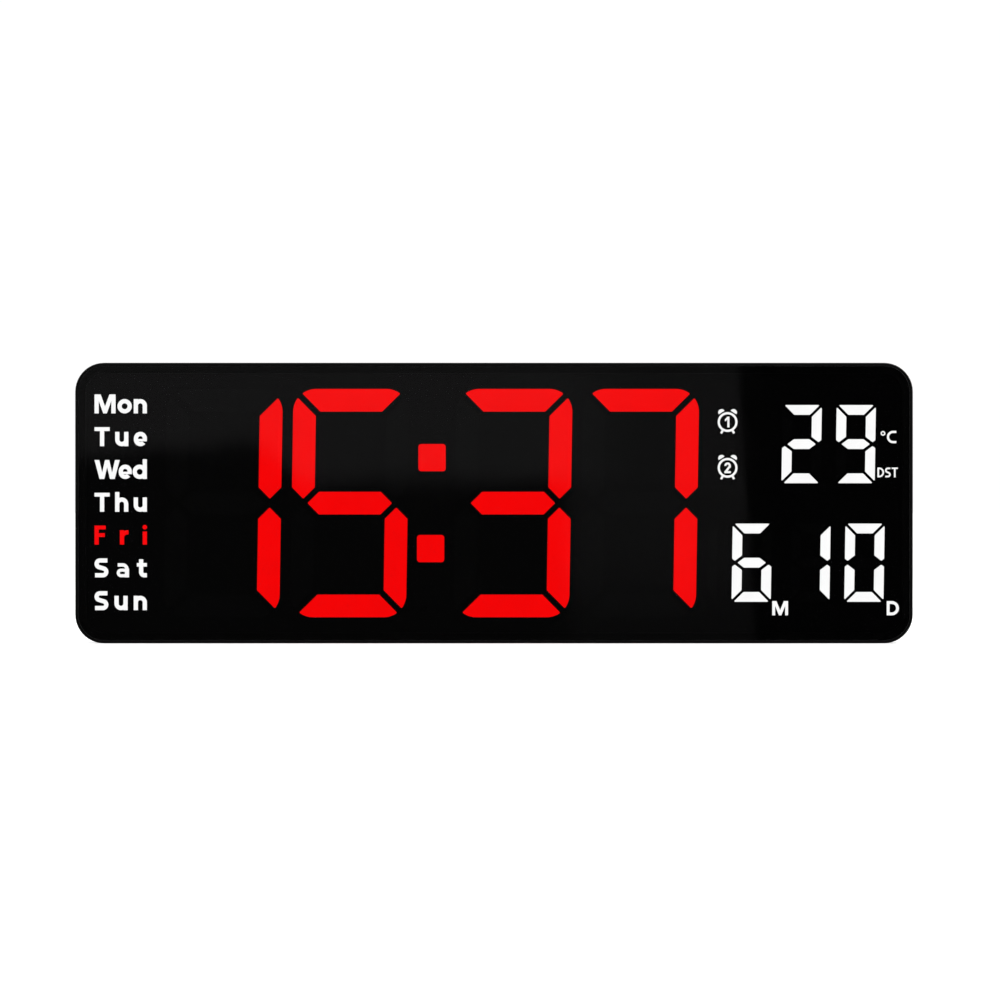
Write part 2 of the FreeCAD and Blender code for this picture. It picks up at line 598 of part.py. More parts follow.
def light_box(faces, dots):
    """The white reflector: a thin web with a deep cell behind every window."""
    y0, y1, skirt = Y_DIFFUSER, Y_BOX, 1.6
    body = [slab(LIGHT_BOX_W, LIGHT_BOX_H, LIGHT_BOX_R, y0, y0 + WEB_T)]
    cut = []
    for name, (style, x, z, has, _) in DISPLAY.items():
        wide, high, t = style["width"], style["height"], style["stroke"]
        lean = SLANT * high / 2
        narrow = has == "bc"
        left = x + wide / 2 - t if narrow else x - wide / 2
        right = x + wide / 2
        bottom = max(z - high / 2 - skirt, MID_Z - LIGHT_BOX_H / 2)
        body.append(box(left - lean - skirt, right + lean + skirt, y0, y1, bottom, z + high / 2 + skirt))
        if not narrow:
            room_w, room_h = wide - 2 * t - 3.2, high / 2 - 1.5 * t - 2.4
            for side in (-1, 1):
                at = z + side * (t / 2 + 1.2 + room_h / 2)
                low, high = at - room_h / 2, at + room_h / 2
                cut.append(box(x - room_w / 2, x + room_w / 2, y0 + WEB_T, y1 + 1, low, high))
    for i in (0, 1):
        centre = dots[i].CenterOfMass
        body.append(square(centre.x, centre.z, DOT_SIZE + 2 * skirt, DOT_R + skirt, y0, y1))
    for x0, x1, z0, z1 in legend_cells():
        right, low = min(x1 + skirt, LIGHT_BOX_W / 2), max(z0 - skirt, MID_Z - LIGHT_BOX_H / 2)
        body.append(box(x0 - skirt, right, y0, y1, low, z1 + skirt))
        cut.append(box(x0, x1, y0 - 1, y1 + 1, z0, z1))
    body += [rod(x, z, 3.2, y0, y1) for x, z in board_holes()]
    cut += [rod(x, z, 0.9, y0 + WEB_T, y1 + 1) for x, z in board_holes()]
    segments = [window(face, y0 - 1, y1 + 1) for digit in faces.values() for face in digit.values()]
    segments += [window(dot, y0 - 1, y1 + 1) for dot in dots]
    eyes = [slab(5.4, 8.6, 0.6, y0 - 1, y1 + 1, x, EYE_Z) for x in (RECEIVER_X, LIGHT_SENSOR_X)]
    return fused(body).cut(cut + segments + eyes).removeSplitter()


# ---------------------------------------------------------------- the circuit board and what is on it
def board_holes():
    """Where the board's screws go: along the top and bottom edges and at the two ends."""
    low, high = MID_Z - LIGHT_BOX_H / 2 + 4.2, MID_Z + LIGHT_BOX_H / 2 - 4.2
    return [(-163.5, low), (-163.5, high), (-35.5, high - 2.0), (99.0, high), (104.5, low), (157.0, high),
            (168.0, 62.0)]


def display_board():
    board = slab(BOARD_W, LIGHT_BOX_H, LIGHT_BOX_R, Y_BOX, Y_BOARD)
    return board.cut([rod(x, z, 1.3, Y_BOX - 1, Y_BOARD + 1) for x, z in board_holes()])


def board_screws():
    """Self-tapping screws from the board into the light box."""
    return group(screw(x, z, Y_BOARD, 0.85, 1.9, 1.2, 6.0) for x, z in board_holes())


def screw(x, z, seat_y, shank_r, head_r, head_t, length):
    """A cross-recessed pan-head screw driven towards the front, with its head on seat_y."""
    shank = rod(x, z, shank_r, seat_y - length, seat_y)
    head = rod(x, z, head_r, seat_y, seat_y + head_t)
    head = head.makeFillet(0.45 * head_t, edges_at(head, seat_y + head_t))
    slot, arm = 0.34 * head_r, 0.66 * head_r
    deep = seat_y + 0.35 * head_t
    cross = [box(x - arm, x + arm, deep, seat_y + head_t + 1, z - slot / 2, z + slot / 2),
             box(x - slot / 2, x + slot / 2, deep, seat_y + head_t + 1, z - arm, z + arm)]
    return shank.fuse(head).removeSplitter().cut(cross)


def chip_led(x, z, w=2.8, h=3.5):
    """A surface-mount LED on the board's front face: a package with its round lens pool sunk in."""
    package = box(x - w / 2, x + w / 2, Y_BOX - 1.9, Y_BOX, z - h / 2, z + h / 2)
    return package.cut(Part.makeCone(0.36 * w, 0.44 * w, 0.4, V(x, Y_BOX - 1.5, z), V(0, -1, 0)))


def segment_spots(name, per_segment):
    """Where the LEDs of one digit's segments go: spread evenly along each segment's middle line."""
    style, x, z, has, _ = DISPLAY[name]
    t = style["stroke"]
    w, h = (style["width"] - t) / 2, (style["height"] - t) / 2
    ends = {"a": ((-w + t, h), (w - t, h)), "d": ((-w + t, -h), (w - t, -h)), "g": ((-w + t, 0), (w - t, 0)),
            "b": ((w, t), (w, h - t)), "c": ((w, -t), (w, -h + t)),
            "e": ((-w, -t), (-w, -h + t)), "f": ((-w, t), (-w, h - t))}
    spots = []
    for part in has:
        (u0, v0), (u1, v1) = ends[part]
        for i in range(per_segment):
            share = (i + 0.5) / per_segment
            u, v = u0 + (u1 - u0) * share, v0 + (v1 - v0) * share
            spots.append((x + u + SLANT * v, z + v, part in "adg"))
    return spots


def time_leds():
    """Three red LEDs behind each large segment, and two behind each colon dot."""
    spots = [s for name in DISPLAY if DISPLAY[name][0] is TIME_DIGIT for s in segment_spots(name, 3)]
    leds = [chip_led(x, z, *((3.5, 2.8) if flat else (2.8, 3.5))) for x, z, flat in spots]
    for side in (-1, 1):
        leds += [chip_led(TIME_X + shift, TIME_Z + side * DOT_OFFSET) for shift in (-3.0, 3.0)]
    return group(leds)


def small_leds():
    """One white LED behind each small segment."""
    spots = [s for name in DISPLAY if DISPLAY[name][0] is SMALL_DIGIT for s in segment_spots(name, 1)]
    return group(chip_led(x, z, *((3.0, 1.4) if flat else (1.4, 3.0))) for x, z, flat in spots)


def legend_leds():
    """Two two-colour LEDs behind each weekday, and one white LED behind each other legend."""
    leds = []
    for x0, x1, z0, z1 in legend_cells():
        middle = (z0 + z1) / 2
        if x1 - x0 > 20:
            leds += [chip_led(x0 + (x1 - x0) * share, middle, 3.5, 2.8) for share in (0.27, 0.73)]
        else:
            leds.append(chip_led((x0 + x1) / 2, middle, 2.0, 2.6))
    return group(leds)


def flat_chip(x, z, length, width, height, pins):
    """A gull-wing chip on the board's rear face, long along X."""
    y0, half = Y_BOARD + 0.1, width / 2
    body = box(x - length / 2, x + length / 2, y0, y0 + height, z - half, z + half)
    pitch = length / pins
    legs = []
    for i in range(pins):
        at = x - length / 2 + (i + 0.5) * pitch
        legs.append(box(at - 0.2, at + 0.2, Y_BOARD, Y_BOARD + 0.25, z - half - 1.5, z + half + 1.5))
    dimple = rod(x - length / 2 + 1.2, z - half + 1.2, 0.5, Y_BOARD + height, Y_BOARD + height + 1)
    return body.fuse(legs).removeSplitter().cut(dimple)


def driver_chips():
    return group(flat_chip(x, 92.0, 18.0, 7.5, 2.3, 14) for x in (-60.0, 18.0, 84.0))


def control_chip():
    return flat_chip(-32.0, 64.0, 20.0, 7.5, 2.3, 16)


def clock_crystal():
    """A tuning-fork crystal lying on the board with its two leads."""
    x, z = -32.0, 74.0
    can = rod_z(x, Y_BOARD + 1.1, 1.0, z, z + 6.0)
    leads = [box(x + s - 0.15, x + s + 0.15, Y_BOARD, Y_BOARD + 1.1, z - 2.5, z) for s in (-0.45, 0.45)]
    return can.fuse(leads).removeSplitter()


def capacitors():
    """Electrolytic cans on square bases."""
    cans = []
    for x, z, r, h in ((-14.0, 30.0, 4.0, 8.5), (-26.0, 30.0, 3.15, 6.6), (30.0, 64.0, 3.15, 6.6)):
        base = box(x - r, x + r, Y_BOARD, Y_BOARD + 0.8, z - r, z + r)
        can = rod(x, z, 0.96 * r, Y_BOARD + 0.8, Y_BOARD + h)
        can = can.makeFillet(0.4, edges_at(can, Y_BOARD + h))
        cans.append(base.fuse(can))
    return group(cans)


def resistors():
    """Two-terminal chips in rows beside the driver chips."""
    spots = [(x + i * 2.6, z) for x in (-69.0, 9.0, 75.0) for z in (103.0, 81.0) for i in range(7)]
    return group(box(x - 0.4, x + 0.4, Y_BOARD, Y_BOARD + 0.5, z - 0.8, z + 0.8) for x, z in spots)


def regulator():
    """A power regulator with three legs and a wide tab."""
    x, z = -14.0, 48.0
    body = box(x - 3.25, x + 3.25, Y_BOARD + 0.1, Y_BOARD + 1.7, z - 1.75, z + 1.75)
    legs = [box(x + s - 0.35, x + s + 0.35, Y_BOARD, Y_BOARD + 0.3, z - 3.5, z) for s in (-2.3, 0, 2.3)]
    tab = box(x - 1.5, x + 1.5, Y_BOARD, Y_BOARD + 0.3, z, z + 3.5)
    return body.fuse(legs + [tab]).removeSplitter()


def buzzer():
    """A round sounder with its sound hole."""
    can = rod(BUZZER_X, BUZZER_Z, BUZZER_R, Y_BOARD, Y_BOARD + BUZZER_H)
    can = can.makeFillet(0.5, edges_at(can, Y_BOARD + BUZZER_H))
    return can.cut(rod(BUZZER_X, BUZZER_Z, 1.0, Y_BOARD + BUZZER_H - 2, Y_BOARD + BUZZER_H + 1))


def temperature_sensor():
    """A bead thermistor on two leads, held off the board behind the side vents."""
    bead = Part.makeSphere(1.3, V(SENSOR_X, Y_BOARD + 7.0, SENSOR_Z))
    leads = [rod(SENSOR_X + s, SENSOR_Z, 0.25, Y_BOARD, Y_BOARD + 7.0) for s in (-0.8, 0.8)]
    return bead.fuse(leads).removeSplitter()


def remote_receiver():
    """The infrared receiver: a block with a dome towards the front."""
    z0, z1 = EYE_Z - 3.4, EYE_Z + 3.4
    block = box(RECEIVER_X - 2.5, RECEIVER_X + 2.5, Y_BOX - 3.0, Y_BOX, z0, z1)
    dome = Part.makeSphere(2.0, V(RECEIVER_X, Y_BOX - 3.0, EYE_Z))
    return block.fuse(dome).removeSplitter()


def light_sensor():
    """The round photocell that dims the display, on a short stand."""
    face = rod(LIGHT_SENSOR_X, EYE_Z, 2.5, Y_BOX - 5.0, Y_BOX - 3.0)
    leads = [rod(LIGHT_SENSOR_X, EYE_Z + s, 0.3, Y_BOX - 3.0, Y_BOX) for s in (-1.3, 1.3)]
    return face.fuse(leads).removeSplitter()


# ---------------------------------------------------------------- power socket
def power_socket():
    """A barrel socket that faces down into the plug pocket."""
    z0 = PLUG_POCKET_TOP + POCKET_WALL + SLIP
    x0, x1 = SOCKET_X - SOCKET_W / 2, SOCKET_X + SOCKET_W / 2
    body = box(x0, x1, Y_BOARD, Y_BOARD + SOCKET_H, z0, z0 + 13.0)
    nose = rod_z(SOCKET_X, SOCKET_AXIS_Y, SOCKET_NOSE_R, PLUG_POCKET_TOP, z0 + 1.0)
    return body.fuse(nose).removeSplitter().cut(
        rod_z(SOCKET_X, SOCKET_AXIS_Y, SOCKET_BORE_R, PLUG_POCKET_TOP - 1, PLUG_POCKET_TOP + SOCKET_DEPTH))


def socket_pin():
    """The socket's centre contact, rooted in the end of its bore."""
    pin = rod_z(SOCKET_X, SOCKET_AXIS_Y, SOCKET_PIN_R, PLUG_POCKET_TOP + 1.0, PLUG_POCKET_TOP + SOCKET_DEPTH)
    return pin.makeFillet(0.4, [e for e in pin.Edges if isinstance(e.Curve, Part.Circle)
                                and e.Vertexes[0].Z < PLUG_POCKET_TOP + 2])


# ---------------------------------------------------------------- buttons
def button_x(i):
    return BUTTON_X + (i - 1) * BUTTON_PITCH


def button_cap(x):
    """A round cap with a shallow finger dish, a retaining flange and a stem on the switch's plunger."""
    dish_floor = Y_BACK - DISH_D
    top = dish_floor + 1.0
    cap = rod(x, BUTTON_Z, CAP_R, dish_floor - 2.0, top)
    cap = cap.makeFillet(0.5, edges_at(cap, top))
    flange = rod(x, BUTTON_Z, CAP_FLANGE_R, dish_floor - 2.8, dish_floor - 1.8)
    stem = rod(x, BUTTON_Z, CAP_STEM_R, PLUNGER_TOP_Y, dish_floor - 2.5)
    sphere = Part.makeSphere(14.0, V(x, top + 14.0 - 0.35, BUTTON_Z))
    return cap.fuse([flange, stem]).removeSplitter().cut(sphere)


def switch_bodies():
    """The three tactile switches on the board's rear face, each with a bore for its plunger and four legs."""
    bodies = []
    for i in range(len(BUTTONS)):
        x, half = button_x(i), SWITCH_SIDE / 2
        body = box(x - half, x + half, Y_BOARD, Y_BOARD + SWITCH_H, BUTTON_Z - half, BUTTON_Z + half)
        feet = []
        for u in (x - half, x + half):
            for v in (BUTTON_Z - 2.25, BUTTON_Z + 2.25):
                feet.append(box(u - 0.4, u + 0.4, Y_BOARD, Y_BOARD + 0.3, v - 0.35, v + 0.35))
        bore = rod(x, BUTTON_Z, PLUNGER_R + 0.05, Y_BOARD + 1.8, Y_BOARD + SWITCH_H + 1)
        bodies.append(body.fuse(feet).removeSplitter().cut(bore))
    return group(bodies)


def switch_plunger(x):
    return rod(x, BUTTON_Z, PLUNGER_R, Y_BOARD + 2.5, PLUNGER_TOP_Y)


# ---------------------------------------------------------------- legs
def leg(x):
    """A fold-out leg: a barrel round the hinge pin and a ribbed arm that lies in the rear recess."""
    w = LEG_W / 2
    inner = LEG_BACK_Y - LEG_T
    arm = slab(LEG_W, LEG_TOP - LEG_AXIS_Z + 6.0, 5.0, inner, LEG_BACK_Y, x, (LEG_TOP + LEG_AXIS_Z - 6.0) / 2)
    arm = arm.cut(box(x - w - 1, x + w + 1, inner - 1, LEG_BACK_Y + 1, -10, LEG_AXIS_Z))
    arm = arm.makeFillet(0.8, [e for e in edges_at(arm, LEG_BACK_Y) if e.BoundBox.ZMax > LEG_AXIS_Z + 0.1])
    barrel = rod_x(LEG_AXIS_Y, LEG_AXIS_Z, LEG_BARREL_R, x - w, x + w)
    body = arm.fuse(barrel).removeSplitter()
    cell_w, rib = (LEG_W - 2 * 1.6 - 1.2) / 2, 1.2
    cells, z, count = [], LEG_AXIS_Z + LEG_BARREL_R + 2.5, 3
    cell_h = (LEG_TOP - 4.0 - z - (count - 1) * rib) / count
    for i in range(count):
        low = z + i * (cell_h + rib)
        for side in (-1, 1):
            middle = x + side * (cell_w + rib) / 2
            cells.append(slab(cell_w, cell_h, 1.0, inner - 1, inner + LEG_T - 2.2, middle, low + cell_h / 2))
    pad = slab(PAD_W + 0.1, PAD_L + 0.1, 2.0, LEG_BACK_Y - PAD_T + 0.3, LEG_BACK_Y + 1, x, pad_z())
    bore = rod_x(LEG_AXIS_Y, LEG_AXIS_Z, LEG_PIN_R + 0.05, x - w - 1, x + w + 1)
    return body.cut(cells + [pad, bore])


def pad_z():
    return LEG_TOP - 4.0 - PAD_L / 2


def leg_pad(x):
    """A rubber pad let into the leg's rear face, where it meets the shelf once the leg is out."""
    return slab(PAD_W, PAD_L, 2.0, LEG_BACK_Y - PAD_T + 0.3, LEG_BACK_Y + 0.3, x, pad_z())


def leg_pin(x):
    half = RECESS_W / 2 + 2.6
    return rod_x(LEG_AXIS_Y, LEG_AXIS_Z, LEG_PIN_R, x - half, x + half)


# ---------------------------------------------------------------- coin cell
def coin_cell():
    """A button cell: the can, and the smaller cap towards the inside."""
    y0 = WELL_FLOOR_Y + 0.5
    can = rod(CELL_X, CELL_Z, CELL_R, y0 + 0.5, y0 + CELL_T)
    can = can.makeFillet(0.35, edges_at(can, y0 + CELL_T))
    return can.fuse(rod(CELL_X, CELL_Z, CELL_R - 1.3, y0, y0 + 0.5)).removeSplitter()


def cell_contacts():
    """Two plated strips: one under the cell's cap, and one against the can's side."""
    x, y, z = CELL_X, WELL_FLOOR_Y, CELL_Z
    under = box(x - 6.0, x + 6.0, y + 0.2, y + 0.5, z - 2.0, z + 2.0)
    foot = box(x - 6.0, x - 4.5, y, y + 0.3, z - 2.0, z + 2.0)
    side_x = x + WELL_R + 0.3
    side = box(side_x, side_x + 0.3, y, y + 3.6, z - 2.5, z + 2.5)
    bump = box(x + CELL_R, side_x + 0.1, y + 1.7, y + 2.0, z - 1.5, z + 1.5)
    return group([under.fuse(foot).removeSplitter(), side.fuse(bump).removeSplitter()])


def door_hinge():
    """(y, z) of the battery door's hinge, at its lower edge."""
    return Y_BACK - DOOR_T / 2, CELL_Z - DOOR_H / 2 + DOOR_T / 2


def battery_door():
    """A flush door that swings on two moulded trunnions, with a grip and a catch at its upper edge."""
    y, z = door_hinge()
    w, top = DOOR_W / 2, CELL_Z + DOOR_H / 2
    plate = box(CELL_X - w, CELL_X + w, Y_BACK - DOOR_T, Y_BACK, z, top)
    corners = [e for e in plate.Edges if e.BoundBox.ZMin > top - 1e-6 and e.BoundBox.YLength > 1]
    plate = plate.makeFillet(2.0, corners)
    roll = rod_x(y, z, DOOR_T / 2, CELL_X - w, CELL_X + w)
    trunnions = rod_x(y, z, DOOR_PIN_R, CELL_X - w - 1.4, CELL_X + w + 1.4)
    catch = box(CELL_X - 4.0, CELL_X + 4.0, Y_BACK - DOOR_T - 0.9, Y_BACK - DOOR_T, top - 4.0, top - 2.6)
    body = plate.fuse([roll, trunnions, catch]).removeSplitter()
    grip = []
    for i in range(4):
        low = top - 4.4 - i * 1.8
        grip.append(box(CELL_X - 6.0, CELL_X + 6.0, Y_BACK - 0.5, Y_BACK + 1, low, low + 0.9))
    thumb = rod(CELL_X, top + 1.0, 3.4, Y_BACK - DOOR_T - 1, Y_BACK + 1)
    return body.cut(grip + [thumb])


# ---------------------------------------------------------------- rear cover
def keyhole(x, y0, y1):
    """A round hole for a screw's head with a narrow slot above it, from y0 to y1."""
    hole = rod(x, KEYHOLE_Z, KEYHOLE_R, y0, y1)
    w, top, round_end = KEYSLOT_R, KEYHOLE_Z + KEYSLOT_L + KEYSLOT_R, KEYSLOT_R - 1e-3
    corners = [(x - w, KEYHOLE_Z), (x + w, KEYHOLE_Z), (x + w, top), (x - w, top)]
    return hole.fuse(prism(corners, y0, y1, [0, 0, round_end, round_end])).removeSplitter()


def keyhole_room(x, grow):
    """The space behind a keyhole where the screw's head slides up, or with grow the cup around it."""
    wide, low, high = KEYHOLE_R + 0.6, KEYHOLE_Z - KEYHOLE_R - 0.6, KEYHOLE_Z + KEYSLOT_L + KEYHOLE_R + 0.6
    y0, y1 = Y_INSIDE - KEYHOLE_D - grow, Y_INSIDE + (0.5 if grow else 0)
    return slab(2 * (wide + grow), high - low + 2 * grow, 3.0 + grow, y0, y1, x, (low + high) / 2)


def vent_slots():
    """Narrow slots: two rows over the drivers, and a short ladder by the temperature sensor."""
    y0, y1 = Y_INSIDE - 3, Y_BACK + 1
    slots = [slab(1.8, 11.0, 0.89, y0, y1, -44.0 + i * 8.0, z) for i in range(12) for z in (103.0, 118.0)]
    return slots + [slab(12.0, 1.8, 0.89, y0, y1, SENSOR_X, SENSOR_Z - 12.5 + i * 5.0) for i in range(6)]


def sound_holes():
    """One hole and a ring of six over the sounder."""
    y0, y1 = Y_INSIDE - 1, Y_BACK + 1
    holes = [rod(BUZZER_X, BUZZER_Z, 0.9, y0, y1)]
    for i in range(6):
        turn = math.radians(60 * i)
        holes.append(rod(BUZZER_X + 3.6 * math.cos(turn), BUZZER_Z + 3.6 * math.sin(turn), 0.9, y0, y1))
    return holes


def button_marks():
    """Shallow engraved signs under the buttons: minus, plus and a ring with a dot."""
    z, deep, size, line = BUTTON_Z - DISH_H / 2 - 6.0, 0.35, 2.4, 0.9
    y0, y1 = Y_BACK - deep, Y_BACK + 1
    marks = [slab(2 * size, line, 0.4, y0, y1, button_x(0), z)]
    upright = slab(line, 2 * size, 0.4, y0, y1, button_x(1), z)
    marks.append(slab(2 * size, line, 0.4, y0, y1, button_x(1), z).fuse(upright))
    marks.append(rod(button_x(2), z, size, y0, y1).cut(rod(button_x(2), z, size - line, y0 - 1, y1 + 1)))
    marks.append(rod(button_x(2), z, 0.7, y0, y1))
    return marks


def leg_recess(x):
    """(housing, hollow) of a leg's recess, which is open at the base and has a finger scoop above the leg."""
    w, floor = RECESS_W / 2, LEG_BACK_Y - LEG_T - 0.7
    root_y, root_z = LEG_AXIS_Y - LEG_BARREL_R - 0.6, LEG_AXIS_Z + LEG_BARREL_R + 1.0
    wall, ear = POCKET_WALL, 2.8
    housing = [box(x - w - wall, x + w + wall, floor - wall, Y_INSIDE + 0.5, 1.0, RECESS_TOP + wall),
               box(x - w - ear, x + w + ear, root_y - wall, Y_INSIDE + 0.5, 1.0, root_z + wall)]
    hollow = [slab(RECESS_W, RECESS_TOP + 10.0, 4.0, floor, Y_BACK + 1, x, (RECESS_TOP - 10.0) / 2),
              box(x - w, x + w, root_y, Y_BACK + 1, -10.0, root_z)]
    hollow.append(rod_x(LEG_AXIS_Y, LEG_AXIS_Z, LEG_PIN_R, x - w - ear - 1, x + w + ear + 1))
    return housing, hollow


def plug_pocket():
    """(housing, hollow) of the pocket that lets the power plug and its lead lie inside the case's depth."""
    w, wall, top = PLUG_POCKET_W / 2, POCKET_WALL - 0.4, PLUG_POCKET_TOP
    y0, y1 = PLUG_POCKET_Y - wall, Y_INSIDE + 0.5
    housing = [box(SOCKET_X - w - wall, SOCKET_X + w + wall, y0, y1, 4.0, top + POCKET_WALL)]
    hollow = [slab(PLUG_POCKET_W, top - 6.0, 1.0, PLUG_POCKET_Y, Y_BACK + 1, SOCKET_X, (top + 6.0) / 2),
              box(SOCKET_X - w, SOCKET_X + w, Y_FRAME_END + SHADOW_GAP + 1.2, Y_BACK + 1, -1.0, 12.0),
              rod_z(SOCKET_X, SOCKET_AXIS_Y, SOCKET_NOSE_R + SLIP, top - 1, top + POCKET_WALL + 1)]
    return housing, hollow


def battery_bay():
    """(housing, hollow) of the coin cell's well and the door's seat."""
    y, z = door_hinge()
    w, wall = DOOR_W / 2, POCKET_WALL
    seat_y = Y_BACK - DOOR_T - MOVING_GAP
    low, high = CELL_Z - DOOR_H / 2, CELL_Z + DOOR_H / 2
    housing = [box(CELL_X - w - 2.4, CELL_X + w + 2.4, seat_y - wall, Y_INSIDE + 0.5, low - 2.4, high + 2.4),
               rod(CELL_X, CELL_Z, WELL_R + wall + 1.0, WELL_FLOOR_Y - wall, Y_INSIDE)]
    seat = slab(DOOR_W + 2 * MOVING_GAP, DOOR_H + 2 * MOVING_GAP, 0.4, seat_y, Y_BACK + 1, CELL_X, CELL_Z)
    well = rod(CELL_X, CELL_Z, WELL_R, WELL_FLOOR_Y, Y_BACK)
    side_x = CELL_X + WELL_R
    notch = box(side_x - 2.0, side_x + 0.6, WELL_FLOOR_Y, Y_BACK, CELL_Z - 2.6, CELL_Z + 2.6)
    scoop = rod(CELL_X - WELL_R, CELL_Z, 4.0, WELL_FLOOR_Y + 1.5, Y_BACK)
    catch = box(CELL_X - 4.3, CELL_X + 4.3, seat_y - 1.0, Y_BACK, high - 4.3, high - 2.3)
    pivots = rod_x(y, z, DOOR_PIN_R + 0.06, CELL_X - w - 1.6, CELL_X + w + 1.6)
    return housing, [seat, well, notch, scoop, catch, pivots]


def button_seat():
    """(housing, hollow) of the buttons' dish and their three holes."""
    floor = Y_BACK - DISH_D
    long, end_r = BUTTON_PITCH * 2 + DISH_H, DISH_H / 2
    housing = [slab(long + 3.0, DISH_H + 3.0, end_r + 1.4, floor - 1.6, Y_INSIDE + 0.5, BUTTON_X, BUTTON_Z)]
    hollow = [slab(long, DISH_H, end_r - 1e-3, floor, Y_BACK + 1, BUTTON_X, BUTTON_Z)]
    hole_r = CAP_R + MOVING_GAP
    hollow += [rod(button_x(i), BUTTON_Z, hole_r, floor - 5, Y_BACK + 1) for i in range(len(BUTTONS))]
    return housing, hollow


def rear_cover():
    """The rear shell with its lip, screw bosses, recesses, bays, pockets and vents."""
    y0 = Y_FRAME_END + SHADOW_GAP
    shell = inset_slab(0, y0, Y_BACK)
    shell = shell.makeFillet(BACK_EDGE_R, edges_at(shell, Y_BACK))
    room = inset_slab(WALL, y0 - 1, Y_INSIDE)
    room = room.makeFillet(BACK_EDGE_R - WALL, edges_at(room, Y_INSIDE))
    shell = shell.cut(room)
    lip = inset_slab(WALL + 0.1, Y_FRAME_END - LIP_L, y0 + 1.5).cut(inset_slab(WALL + 0.1 + LIP_T, -20, 20))
    step = inset_slab(0.6, y0, y0 + 1.5).cut(inset_slab(WALL + 0.1 + LIP_T, -20, 20))
    housings, hollows, frame_bosses = [], [], []
    for x in SCREW_X:
        for z in SCREW_Z:
            y_lip, gap = Y_FRAME_END - LIP_L - 1, BOSS_R + 0.3
            frame_bosses.append(rod(x, z, gap, y_lip, Y_FRAME_END + 0.05))
            z0, z1 = (0, z) if z < MID_Z else (z, CASE_H)
            frame_bosses.append(box(x - gap, x + gap, y_lip, Y_FRAME_END + 0.05, z0, z1))
            housings.append(rod(x, z, HEAD_BORE_R + 1.3, Y_FRAME_END + 0.05, Y_INSIDE + 0.5))
            hollows += [rod(x, z, HEAD_BORE_R, HEAD_SEAT_Y, Y_BACK + 1), rod(x, z, SCREW_R + 0.2, -5, Y_BACK)]
    shell = shell.fuse([lip.cut(frame_bosses), step])

    for x in (-LEG_X, LEG_X):
        housing, hollow = leg_recess(x)
        housings += housing
        hollows += hollow
    for x in (-KEYHOLE_X, KEYHOLE_X):
        housings.append(keyhole_room(x, POCKET_WALL))
        hollows += [keyhole_room(x, 0), keyhole(x, Y_INSIDE - 1, Y_BACK + 1)]
    for housing, hollow in (plug_pocket(), battery_bay(), button_seat()):
        housings += housing
        hollows += hollow
    hollows.append(slab(76.0, 26.0, 2.0, Y_BACK - 0.4, Y_BACK + 1, 0, 76.0))
    hollows += vent_slots() + sound_holes() + button_marks()

    limits = inset_slab(0.2, Y_FRAME_END - LIP_L, Y_BACK)
    housings = [h.common(limits) for h in housings]
    return shell.fuse(housings).cut(hollows).removeSplitter()


def case_screws():
    spots = [(x, z) for x in SCREW_X for z in SCREW_Z]
    return group(screw(x, z, HEAD_SEAT_Y, SCREW_R, SCREW_HEAD_R, SCREW_HEAD_T, SCREW_L) for x, z in spots)


# ---------------------------------------------------------------- the whole clock
def main():
    faces, dots = display_faces(), colon_faces()
    rows = weekday_rows()
    windows = {}
    for place in ("hour_tens", "hour_units", "minute_tens", "minute_units"):
        lit = [window(f) for part, f in faces[place].items() if is_lit(place, part)]
        dark = [window(f) for part, f in faces[place].items() if not is_lit(place, part)]
        windows[place + "_segments_lit"] = lit
        windows[place + "_segments_dark"] = dark
    for title, places in (("temperature", ("temperature_tens", "temperature_units")),
                          ("date", ("month_tens", "month_units", "day_tens", "day_units"))):
        both = [(is_lit(place, part), window(f)) for place in places for part, f in faces[place].items()]
        windows[title + "_segments_lit"] = [s for lit, s in both if lit]
        windows[title + "_segments_dark"] = [s for lit, s in both if not lit]
    windows["colon_dots"] = [window(dot) for dot in dots]
    windows["weekday_letters"] = [s for day in WEEKDAYS if day != TODAY for s in rows[day]]
    windows["today_letters"] = rows[TODAY]
    windows["alarm_icons"] = alarm_icon("1", ALARM_Z) + alarm_icon("2", ALARM_Z - ALARM_PITCH)
    windows["unit_legends"] = unit_legends()
    for name, solids in windows.items():
        save(name, group(solids))

    save("front_panel", front_panel())
    save("panel_tape", panel_tape())
    save("front_frame", front_frame())
    save("mask_plate", mask_plate([s for solids in windows.values() for s in solids]))
    save("diffuser_sheet", diffuser_sheet())
    save("light_box", light_box(faces, dots))

    save("display_board", display_board())
    save("board_screws", board_screws())
    save("time_leds", time_leds())
    save("small_digit_leds", small_leds())
    save("legend_leds", legend_leds())
    save("driver_chips", driver_chips())
    save("control_chip", control_chip())
    save("clock_crystal", clock_crystal())
    save("capacitors", capacitors())
    save("resistors", resistors())
    save("regulator", regulator())
    save("buzzer", buzzer())
    save("temperature_sensor", temperature_sensor())
    save("remote_receiver", remote_receiver())
    save("light_sensor", light_sensor())
    save("power_socket", power_socket())
    save("socket_pin", socket_pin())

    save("switch_bodies", switch_bodies())
    for i, name in enumerate(BUTTONS):
        save(name + "_button", button_cap(button_x(i)))
        save(name + "_switch_plunger", switch_plunger(button_x(i)))

    for side, x in (("left", -LEG_X), ("right", LEG_X)):
        save("leg_" + side, leg(x))
        save("leg_pad_" + side, leg_pad(x))
        save("leg_pin_" + side, leg_pin(x))

    save("coin_cell", coin_cell())
    save("cell_contacts", cell_contacts())
    save("battery_door", battery_door())
    save("rear_cover", rear_cover())
    save("case_screws", case_screws())


main()
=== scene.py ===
import math

